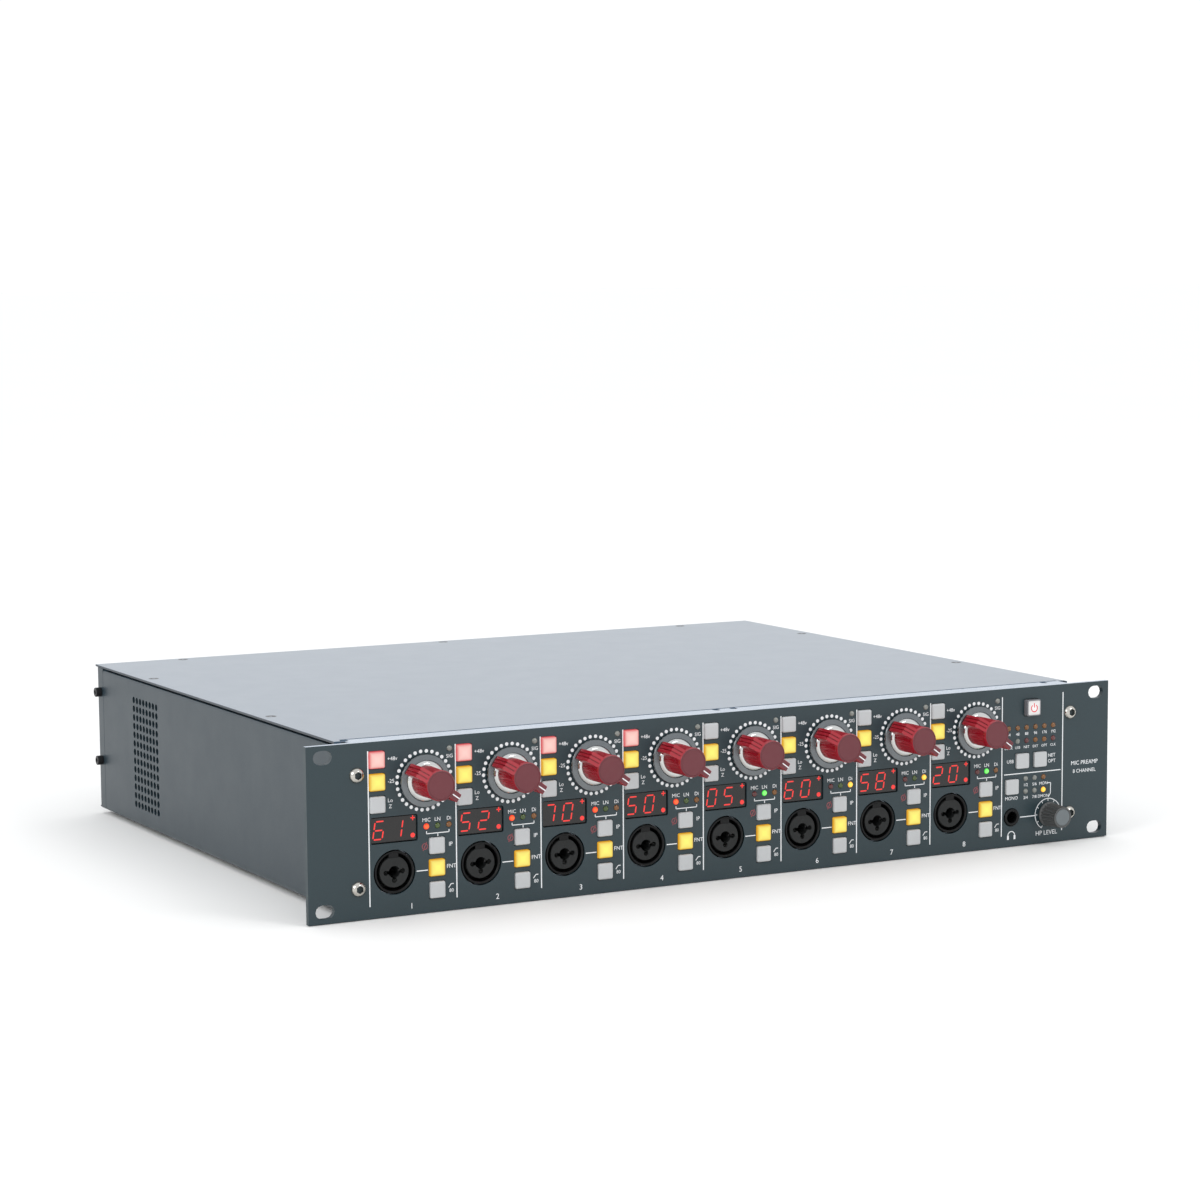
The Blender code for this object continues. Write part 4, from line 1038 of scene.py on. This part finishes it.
def combo_sockets():
    """Outer shell, grey insert with its keyhole, latch and contacts, copied to every channel."""
    place = SOCKET_PLACES[0]
    centre = on_panel(*place)
    shell = turned("socket_shell_1", centre, [(0, -25), (10.7, -25), (10.7, -0.3), (10.5, 0.0), (9.9, 0.02),
                                              (9.5, -0.35), (9.4, -12), (7.9, -12), (7.9, -15), (3.2, -15),
                                              (3.2, -24), (0, -24)], 64)
    smooth(shell, 30)
    insert = turned("socket_insert_1", centre, [(0, -14.9), (7.85, -14.9), (7.85, -0.75), (7.6, -0.45),
                                                (0, -0.4)], 64)
    keyhole = [panel_bar("key_cut", place, 3.05, (-22, 2), 32)]
    for dx, dz, radius in ((-4.5, 0.2, 1.3), (4.5, -0.2, 1.3), (0, 4.1, 1.35)):
        keyhole.append(panel_bar("key_cut", (place[0] + dx, place[1] + dz), radius, (-12, 2), 20))
    for x, drop in (((-4.5, 0), (-0.75, 0.95)), ((0, 4.5), (-0.95, 0.75)), ((-0.7, 0.7), (0, 4.1))):
        keyhole.append(panel_block("key_cut", (place[0] + x[0], place[0] + x[1]),
                                   (place[1] + drop[0], place[1] + drop[1]), (-3, 2)))
    for cutter in keyhole:
        carve(insert, cutter)
    soften(insert, 0.12, 2, 50)
    smooth(insert, 30)
    latch = panel_block("socket_latch_1", (place[0] - 3.0, place[0] + 2.4), (place[1] - 10.2, place[1] - 6.9),
                        (-6, -0.25))
    soften(latch, 0.5, 3)
    smooth(latch, 30)
    contacts = []
    for dx, dz in ((-4.5, 0.2), (4.5, -0.2), (0, 4.1)):
        contacts.append(panel_bar("contact", (place[0] + dx, place[1] + dz), 1.0, (-11, -5.5), 16))
    contacts.append(panel_block("contact", (place[0] - 7.6, place[0] - 6.6), (place[1] - 7.2, place[1] - 6.4),
                                (-8, -1.6)))
    contact = join("socket_contacts_1", contacts)
    # A near-black plug deep in the bore, standing for its shade: painted shade.
    base = turned("socket_bore_1", centre, [(0, -23.5), (3.1, -23.5), (3.1, -21), (0, -21)], 24)
    parts = (("socket_shell", shell, socket_black), ("socket_insert", insert, insert_grey),
             ("socket_latch", latch, socket_black), ("socket_contacts", contact, contact_tin),
             ("socket_bore", base, bore_shade_black))
    for channel, spot in zip(CHANNELS, SOCKET_PLACES):
        for kind, first, finish in parts:
            piece = first if channel == 1 else copied(first, f"{kind}_{channel}", on_panel(*spot) - centre)
            replaced = [f"combo_socket_{channel}"] if kind == "socket_shell" else ()
            dress(piece, finish, "chassis", "black_plastic", replaced)


def phones_jack():
    """Threaded nut round a deep bore."""
    centre = on_panel(*centre_of("headphone_jack"))
    nut = turned("headphone_nut", centre, [(0, -18), (3.2, -18), (3.2, 0.55), (3.6, 0.95), (4.4, 1.0),
                                           (4.75, 0.6), (4.8, -2), (4.8, -22), (0, -22)], 48)
    dress(smooth(nut, 30), socket_black, "chassis", "black_plastic", ["headphone_jack"])


def level_knob():
    """Fluted grey knob with its paler cap."""
    centre = on_panel(*hinge_place("headphone_level_turn"))
    flutes = 20
    knob = turned("level_body", centre, [(0, 0.6), (6.75, 0.6), (6.8, 1.6), (6.6, 2.2), (6.05, 12.8),
                                         (5.95, 13.6), (5.7, 13.9), (4.8, 13.95), (4.7, 13.4), (0, 13.4)],
                  2 * flutes)
    press_flutes(knob, centre, flutes, 1.8, 13.8, 0.85)
    dress(smooth(knob, 30), level_grey, "headphone_level_knob", "grey_plastic", ["headphone_level_knob"])
    cap = turned("level_cap", centre, [(0, 13.3), (4.6, 13.3), (4.6, 13.9), (4.45, 14.1), (0, 14.15)], 48)
    dress(smooth(cap, 30), level_cap, "headphone_level_knob", "grey_plastic")


# ------------------------------------------------------------------ case

CASE_LEFT, CASE_RIGHT = TRAY_LOW.x, TRAY_HIGH.x
LID_NOTCHES = (25.5, 236.6, 247.0, 447.0, 460.0)
LID_SCREWS = ((26.7, 110.0), (26.7, 285.5), (72.0, 360.0), (242.0, 360.0), (410.6, 360.0), (455.5, 283.0),
              (456.5, 112.0))
VENT_COLUMNS, VENT_ROWS = 8, 13
BOLT_HEIGHTS, BOLT_DEPTH, BOLT_REACH = (72.1, 31.8), 359, 3.6
VENT_START, VENT_PITCH, VENT_RADIUS = (265.5, 14.0), (5.27, 5.0), 1.95


def behind(depth):
    """Frame Y of a depth in millimetres behind the panel's face."""
    return PANEL_LOW.y + depth * MM


def on_lid(x, depth, height=0.0):
    """A place on the lid, from the panel's left edge and its face, in millimetres."""
    return Vector((PANEL_LOW.x + x * MM, behind(depth), LID_HIGH.z + height * MM))


def cut_notches(piece, front):
    """The screw notches along the front of the lid, from a depth behind the panel's face."""
    for x in LID_NOTCHES:
        notch = block("notch_cut", on_lid(x - 1.9, front, -3), on_lid(x + 1.9, 14.4, 2))
        carve(piece, soften(notch, 0.8, 2))


def lid():
    """Top cover with screw notches in its front edge and pan-head screws."""
    cover = block("lid", LID_LOW, LID_HIGH)
    cut_notches(cover, 8)
    carve(cover, block("fold_cut", on_lid(24.6, 13.9, -0.7), on_lid(458.0, 16.4, 1)))
    soften(cover, 0.25, 2, 40)
    # The lid's top takes the lighter grey, a painted reflection of the bright room.
    dress(smooth(cover, 30), cover_paint_with_sheen, "chassis", "case_paint", ["top_cover"])
    # Faces that look sideways get the darker copy of the lid's paint: painted shade.
    cover.data.materials.append(lid_side_shade_paint)
    for face in cover.data.polygons:
        if abs(face.normal.x) > 0.8:
            face.material_index = 1
    first = on_lid(*LID_SCREWS[0])
    head = turned("lid_screw_1", first, [(0, 0.02), (2.9, 0.02), (2.75, -0.06), (2.5, -0.1), (0, -0.1)], 32,
                  "Z")
    for angle in (0, 60, 120):
        spline = near("drive_cut", first, (-1.3, -0.28, -0.55), (1.3, 0.28, 0.4))
        carve(head, turn_about(spline, first, angle, "Z"))
    for screw in row_of(smooth(head, 30), "lid_screw", [on_lid(*place) for place in LID_SCREWS]):
        dress(screw, black_screw, slot="connector_shell")


def side_vents(tray):
    """Punch the grids of cooling holes through both sides, towards the back."""
    for x in (CASE_LEFT, CASE_RIGHT):
        centre = Vector((x, behind(VENT_START[0]), VENT_START[1] * MM))
        holes = round_bar("vent_cut", centre, VENT_RADIUS * MM, x - 3 * MM, x + 3 * MM, 12, "X")
        repeated(holes, VENT_COLUMNS, (0, VENT_PITCH[0], 0))
        carve(tray, repeated(holes, VENT_ROWS, (0, 0, VENT_PITCH[1])))


def case():
    """The folded tray with its vents and lid gap, the rear panel, the strip, its ledge and the bolts."""
    tray = traced("case_tray", "tray")
    for x in (CASE_LEFT, CASE_RIGHT):
        edge = Vector((x, PANEL_LOW.y, TRAY_HIGH.z))
        carve(tray, near("gap_cut", edge, (-4, 2, -0.95), (4, 346, 1)))
    soften(tray, 0.2, 2, 60)
    side_vents(tray)
    dress(smooth(tray, 32), case_paint, "chassis", "case_paint", ["case_tray"])
    dress_traced("rear_panel", "rear_wall", case_paint, "chassis", "case_paint")
    # The sub-panel strip and its ledge take the pale finish: painted highlight.
    dress_traced("sub_panel", "flange_strip", strip_highlight_paint, "chassis", "case_paint", ease=0)
    ledge = block("front_ledge", on_lid(25.0, 3.15, -1.2), on_lid(457.6, 14.0, 0.1))
    cut_notches(ledge, 9.6)
    soften(ledge, 0.15, 1, 40)
    dress(ledge, strip_highlight_paint, slot="case_paint")
    bolts = [(x, side, z) for side, x in ((-1, CASE_LEFT), (1, CASE_RIGHT)) for z in BOLT_HEIGHTS]
    for number, (x, side, z) in enumerate(bolts, start=1):
        tip, centre = x + side * BOLT_REACH * MM, (0, behind(BOLT_DEPTH), z * MM)
        head = round_bar(f"side_bolt_{number}", centre, 2.75 * MM, min(x, tip), max(x, tip), 28, "X")
        soften(head, 0.45, 2)
        carve(head, round_bar("key_cut", centre, 1.45 * MM, tip - 2 * MM, tip + 2 * MM, 6, "X"))
        dress(smooth(head, 30), black_screw, slot="connector_shell")
    for number, x in enumerate(LID_NOTCHES, start=1):
        screw = turned(f"strip_screw_{number}", on_lid(x, 12.2, -1.6),
                       [(0, 0.5), (1.1, 0.45), (1.5, 0.1), (1.5, -0.2), (0, -0.2)], 20, "Z")
        dress(smooth(screw, 40), black_screw, slot="connector_shell")


# ------------------------------------------------------------------ rear connectors

def mains():
    """Appliance inlet with bright blades, its rocker with I and O, and two flange screws."""
    centre = rear_middle("mains_inlet")
    dress_traced("mains_inlet", "mains_housing", moulded_black, "chassis", "black_plastic", ease=0.5,
                 angle=35)
    blades = []
    for dx, z in ((-7, 34.0), (7, 34.0), (0, 38.0)):
        place = Vector((centre.x + dx * MM, centre.y, z * MM))
        blades.append(soften(near("blade", place, (-1.05, -15, -2.05), (1.05, -5.4, 2.05)), 0.3, 2))
    dress(join("mains_blades", blades), contact_tin, slot="connector_shell")
    dress_traced("mains_rocker", "rocker", moulded_black, "mains_rocker", "black_plastic", ease=0.35,
                 sharp=25, angle=35)
    axis = Vector((centre.x, centre.y, 0.059))
    marks = []
    for text, dz, lean in (("I", 3.2, 7), ("O", -3.2, -7)):
        place = axis + Vector((0, 1.05, dz)) * MM
        marks.append(turn_about(lettering("mark", text, place, 3.6, "REAR"), place, lean, "X"))
    dress(turn_about(join("rocker_marks", marks), axis, -8, "X"), white_ink, "mains_rocker")
    for number, dz in enumerate((-27, 27), start=1):
        screw = turned(f"inlet_screw_{number}", centre + Vector((0, 0, dz)) * MM,
                       [(0, 0.9), (1.4, 0.8), (2.0, 0.3), (2.0, -0.5), (0, -0.5)], 24, "REAR")
        dress(smooth(screw, 40), black_screw, slot="connector_shell")


def multiway(number):
    """A twenty-five way socket: pressed flange, D shell, insulator with its holes, two jack posts."""
    low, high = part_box(f"multiway_connector_{number}")
    x, z, face = (low.x + high.x) / 2, (low.z + high.z) / 2, REAR_HIGH.y + 0.3 * MM
    flange = block(f"multiway_flange_{number}", (low.x, face, low.z), (high.x, face + 1 * MM, high.z))
    soften(flange, 0.35, 2)
    shell = near("shell", Vector((x, face, z)), (-19.5, -10, -4), (19.5, 6, 4))
    select_vertices(shell, lambda place: place.z > z)
    bpy.ops.transform.resize(value=(20.2 / 19.5, 1, 1), center_override=(x, face, z))
    bpy.ops.object.mode_set(mode="OBJECT")
    soften(shell, 1.6, 3, 60)
    core = copied(shell, f"multiway_core_{number}", (0, 0, 0))
    inner = copied(shell, "inner", (0, 0, 0))
    pick(inner)
    bpy.ops.transform.resize(value=(0.975, 1.6, 0.89), center_override=(x, face, z))
    settle("inner")
    carve(shell, inner)
    pick(core)
    bpy.ops.transform.resize(value=(0.972, 1, 0.87), center_override=(x, face - 1.1 * MM, z))
    settle(core.name)
    holes = []
    for count, dz in ((13, 1.42), (12, -1.42)):
        place = (x - (count - 1) / 2 * 2.76 * MM, 0, z + dz * MM)
        hole = round_bar("pin_cut", place, 0.55 * MM, face + 1 * MM, face + 8 * MM, 8)
        holes.append(repeated(hole, count, (2.76, 0, 0)))
    carve(core, join("pin_cuts", holes))
    dress(smooth(core, 35), moulded_black, slot="black_plastic")
    pieces = [flange, shell]
    for centre in ((x - 23.5 * MM, face, z), (x + 23.5 * MM, face, z)):
        pieces.append(turned("post", centre, [(0, 0.5), (2.35, 0.5), (2.35, 4.6), (2.0, 4.9), (1.25, 4.9),
                                              (1.25, 2.0), (0, 2.0)], 6, "REAR"))
    metal = smooth(join(f"multiway_metal_{number}", pieces), 30)
    dress(metal, shell_metal, "chassis", "connector_shell", [f"multiway_connector_{number}"])


# ------------------------------------------------------------------ option card

def card_front():
    """The black plate, its two end screws, print, lights and trimmings."""
    dress_traced("card_plate", "card_face", card_black, "option_card", "card_plate_paint")
    middle = (PLATE_LOW.z + PLATE_HIGH.z) / 2
    face = PLATE_HIGH.y
    for number, x in enumerate((PLATE_HIGH.x - 5 * MM, PLATE_LOW.x + 5 * MM), start=1):
        screw = turned(f"card_screw_{number}", (x, face, middle),
                       [(0, 1.9), (1.6, 1.85), (2.5, 1.4), (2.8, 0.6), (2.8, -0.4), (0, -0.4)], 32, "REAR")
        carve(screw, round_bar("hex_cut", (x, 0, middle), 1.2 * MM, face + 0.6 * MM, face + 3 * MM, 6))
        dress(smooth(screw, 35), black_screw, "option_card", "connector_shell")
    lights = []
    for step in range(3):
        place = (PLATE_HIGH.x - (60 + 4.5 * step) * MM, face, PLATE_LOW.z + 14 * MM)
        lights.append(smooth(turned("light", place, [(0, 0.5), (0.6, 0.4), (0.95, 0.05), (0.95, -0.6),
                                                     (0, -0.6)], 16, "REAR"), 60))
    dress(join("card_lights", lights), green_lens, "option_card")
    items = (("WORD CLOCK", 37, 30.5, 2.6), ("USB", 83, 25.5, 2.8), ("OPTICAL OUT", 113.5, 25.5, 2.4),
             ("1", 107, 6.2, 2.4), ("2", 120, 6.2, 2.4), ("OPTICAL IN", 146, 25.5, 2.4),
             ("SYNC", 169, 20.0, 2.6), ("STATUS", 64.5, 19.0, 2.2))
    for number, (text, distance, height, size) in enumerate(items, start=1):
        place = (PLATE_HIGH.x - distance * MM, face + 0.02 * MM, PLATE_LOW.z + height * MM)
        dress(lettering(f"card_print_{number}", text, place, size, "REAR"), white_ink, "option_card")
    label = near("card_label", Vector((PLATE_LOW.x, face, PLATE_LOW.z)), (22, 0, 24), (40, 0.12, 31))
    dress(soften(label, 0.05, 1), label_white, "option_card")
    plug = turned("card_plug", (PLATE_HIGH.x - 197 * MM, face, PLATE_LOW.z + 15 * MM),
                  [(0, 0.6), (3.0, 0.6), (3.6, 1.0), (4.2, 0.8), (4.5, 0.1), (4.5, -0.6), (0, -0.6)], 32,
                  "REAR")
    dress(smooth(plug, 40), moulded_black, "option_card", "black_plastic")


def card_sockets():
    """Bayonet socket, square data socket, three optical sockets and the blue plunger."""
    tip = rear_middle("bnc_socket")
    x, end, z = tip.x, PLATE_HIGH.y, tip.z
    reach = (tip.y - end) / MM
    barrel = turned("bnc_barrel", (x, end, z), [(0, -13.3), (3.9, -13.3), (3.9, -5.2), (6.9, -5.2),
                                                (6.9, -1.9), (4.75, -1.9), (4.75, 0.35), (6.9, 0.35),
                                                (6.95, 2.9), (6.4, 3.25), (4.75, 3.25), (4.75, 6.0),
                                                (4.6, 6.3), (4.75, 6.6), (4.75, reach - 0.4),
                                                (4.4, reach - 0.02), (3.9, reach - 0.02), (3.85, reach - 7),
                                                (0, reach - 7)], 40, "REAR")
    lug = round_bar("lug", (0, end + 11 * MM, z), 0.95 * MM, x - 5.9 * MM, x + 5.9 * MM, 14, "X")
    dress(smooth(weld(barrel, lug), 35), nickel, "option_card", "nickel", ["bnc_socket"])
    core = turned("bnc_insulator", (x, end, z), [(0, 5.0), (3.7, 5.0), (3.7, reach - 3.4), (2.2, reach - 3.2),
                                                 (1.1, reach - 3.2), (1.1, reach - 5.6), (0, reach - 5.6)],
                  32, "REAR")
    dress(smooth(core, 35), pale_plastic, "option_card", "grey_plastic")
    washer = turned("bnc_washer", (x, end, z), [(5.2, 0.05), (8.3, 0.05), (8.3, 0.5), (7.2, 0.65),
                                                (5.2, 0.65), (5.2, 0.05)], 40, "REAR")
    dress(smooth(washer, 35), pale_plastic, "option_card", "grey_plastic")

    dress_traced("usb_socket", "usb_shell", shell_metal, "option_card", "connector_shell", ease=0.3, angle=35)
    tongue = near("usb_tongue", rear_middle("usb_socket"), (-2.9, -9.5, -1.6), (2.9, -0.8, 1.6))
    dress(smooth(soften(tongue, 0.3, 2), 35), label_white, "option_card")
    for name in ("optical_output_1", "optical_output_2", "optical_input"):
        centre, side = rear_middle(name), 3.3
        body = soften(block(f"{name}_body", *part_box(name)), 0.4, 2)
        for x in (-side, side):
            carve(body, near("nick_cut", centre, (x - 0.8, -1.4, side - 0.9), (x + 0.8, 1, side + 0.5)))
        carve(body, near("well_cut", centre, (-side, -1.4, -side), (side, 1, side)))
        finish = grey_plastic if "output" in name else moulded_black
        dress(smooth(body, 35), finish, "option_card", "grey_plastic", [name])
        flap = near(f"{name}_flap", centre, (-3.0, -1.35, -3.0), (3.0, -0.7, 3.0))
        dress(smooth(soften(flap, 0.3, 2), 35), chip_black, "option_card")
    plunger = block("sync_plunger", *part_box("sync_switch"))
    dress(smooth(soften(plunger, 0.55, 3), 35), blue_plastic, "sync_switch", "blue_plastic", ["sync_switch"])


BOARD_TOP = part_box("din_connector")[0].z - 0.3 * MM
CARD_GROUP_START, CARD_GROUP_PITCH = 185.0, 21.5
PIN_PITCH = 2.54


def on_board(distance, depth):
    """A place on the card: along its plate from the left seen from behind, and inwards from its rear edge."""
    return Vector((PLATE_HIGH.x - distance * MM, BOARD_HIGH.y - depth * MM, BOARD_TOP))


def board_block(name, centre, size, height, base=0.0, ease=0.15):
    """A component that stands on the card; sizes in millimetres."""
    x, y = size[0] / 2, size[1] / 2
    return soften(near(name, on_board(*centre), (-x, -y, base), (x, y, height)), ease, 1)


def board_chips():
    """Processors with their rows of leads, and the repeated converter groups."""
    chips, leads = [], []
    count = 14
    for distance, depth, side in ((88, 36, 16), (150, 96, 16), (118, 100, 9)):
        chips.append(board_block("chip", (distance, depth), (side - 1.6, side - 1.6), 1.45, 0.15, 0.2))
        reach = side - 3.2
        for edge in (-1, 1):
            lead = board_block("lead", (distance + reach / 2, depth + edge * (side / 2 - 0.4)), (0.32, 1.4),
                               0.35, 0.0, 0.05)
            leads.append(repeated(lead, count, (reach / (count - 1), 0, 0)))
            lead = board_block("lead", (distance + edge * (side / 2 - 0.4), depth + reach / 2), (1.4, 0.32),
                               0.35, 0.0, 0.05)
            leads.append(repeated(lead, count, (0, reach / (count - 1), 0)))
    groups = 8
    for size, offset in (((5, 4), 0), ((4, 4), 7)):
        chip = board_block("chip", (CARD_GROUP_START - offset, 184), size, 1.3, 0.0, 0.15)
        chips.append(repeated(chip, groups, (CARD_GROUP_PITCH, 0, 0)))
    for depth in (177, 191):
        row = board_block("lead", (CARD_GROUP_START + 2, depth), (0.9, 1.7), 0.7, 0.0, 0.1)
        repeated(row, 4, (-3.4, 0, 0))
        leads.append(repeated(row, groups, (CARD_GROUP_PITCH, 0, 0)))
    dress(join("card_chips", chips), chip_black, "option_card", "black_plastic")
    dress(join("card_leads", leads), contact_tin, "option_card", "connector_shell")


def board_parts():
    """The board with its mounting rings, header, capacitors, sockets for leads and a sticker."""
    slab = block("card_slab", (BOARD_LOW.x, BOARD_LOW.y, BOARD_TOP - 1.6 * MM),
                 (BOARD_HIGH.x, BOARD_HIGH.y, BOARD_TOP))
    rings = []
    for distance, depth in ((13, 6), (200, 6), (13, 190), (200, 190), (108, 130)):
        place = on_board(distance, depth)
        carve(slab, round_bar("hole_cut", place, 1.6 * MM, place.z - 4 * MM, place.z + 4 * MM, 20, "Z"))
        rings.append(turned("ring", place, [(1.65, -0.02), (3.2, -0.02), (3.2, 0.06), (1.65, 0.06),
                                            (1.65, -0.02)], 32, "Z"))
    dress(slab, board_green, "option_card", "board", ["card_board"])
    dress(join("card_rings", rings), contact_gold, "option_card", "nickel")
    board_chips()
    header = board_block("box_header", (71, 75), (9.4, 25.4), 8.9, 0.0, 0.2)
    carve(header, board_block("header_cut", (71, 75), (7.0, 23.0), 12.0, 1.6, 0.05))
    dress(smooth(header, 35), moulded_black, "option_card", "black_plastic")
    pins = board_block("header_pins", (71 + PIN_PITCH / 2, 75 + 3.5 * PIN_PITCH), (0.64, 0.64), 7.4, 1.5,
                       0.08)
    repeated(pins, 2, (PIN_PITCH, 0, 0))
    dress(repeated(pins, 8, (0, PIN_PITCH, 0)), contact_gold, "option_card", "nickel")
    cans, sleeves = [], []
    for distance, depth in ((166, 110), (178, 110), (190, 110), (190, 124)):
        place = on_board(distance, depth)
        cans.append(smooth(turned("can", place, [(0, 0.3), (3.15, 0.3), (3.2, 0.9), (2.95, 1.4), (3.2, 1.9),
                                                 (3.2, 6.7), (2.9, 7.0), (2.5, 6.95), (0, 6.95)], 28, "Z"),
                           35))
        sleeves.append(board_block("base", (distance, depth), (7.2, 7.2), 0.9, 0.0, 0.5))
    dress(join("card_cans", cans), shell_metal, "option_card", "connector_shell")
    dress(join("card_can_bases", sleeves), moulded_black, "option_card", "black_plastic")
    whites = [board_block("socket", (40, 95), (10, 6), 6, 0, 0.3),
              board_block("socket", (130, 40), (6, 14), 6, 0, 0.3)]
    dress(join("card_white_sockets", whites), label_white, "option_card")
    blacks = [board_block("socket", (55, 120), (5, 20), 5.5, 0, 0.2),
              board_block("socket", (150, 60), (20, 5), 5.5, 0, 0.2),
              board_block("socket", (169, 10), (8, 8), 7.8, 0, 0.3)]
    dress(join("card_black_sockets", blacks), moulded_black, "option_card", "black_plastic")
    dress(board_block("card_sticker", (110, 65), (24, 11), 0.12, 0.0, 0.03), label_white, "option_card")
    edge = traced("din_connector", "edge_connector")
    soften(edge, 0.5, 2, 60)
    low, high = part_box("din_connector")
    x, y = (low.x + high.x) / 2 - PIN_PITCH * MM, low.y + 6 * MM
    slots = near("slot_cut", Vector((x, y, high.z)), (-0.6, -0.6, -2), (0.6, 0.6, 1))
    repeated(slots, 3, (PIN_PITCH, 0, 0))
    carve(edge, repeated(slots, 16, (0, 4.85, 0)))
    dress(smooth(edge, 35), grey_plastic, "option_card", "grey_plastic", ["din_connector"])


def inner_boards():
    """Finishes for the CAD parts inside the case that keep their shape."""
    kept = {"control_board": board_green, "main_board": board_green, "power_supply": shell_metal}
    for node, finish in kept.items():
        slots = frame["nodes"][node].material_slots
        for index in range(len(slots)):
            slots[index].material = finish


# ------------------------------------------------------------------ build

studio()
panel_face()
panel_screws()
for channel in CHANNELS:
    channel_print(channel)
monitor_print()
gain_knobs()
channel_buttons()
section_buttons()
displays()
small_lights()
combo_sockets()
phones_jack()
level_knob()
lid()
case()
mains()
for number in (1, 2, 3):
    multiway(number)
card_front()
card_sockets()
board_parts()
inner_boards()
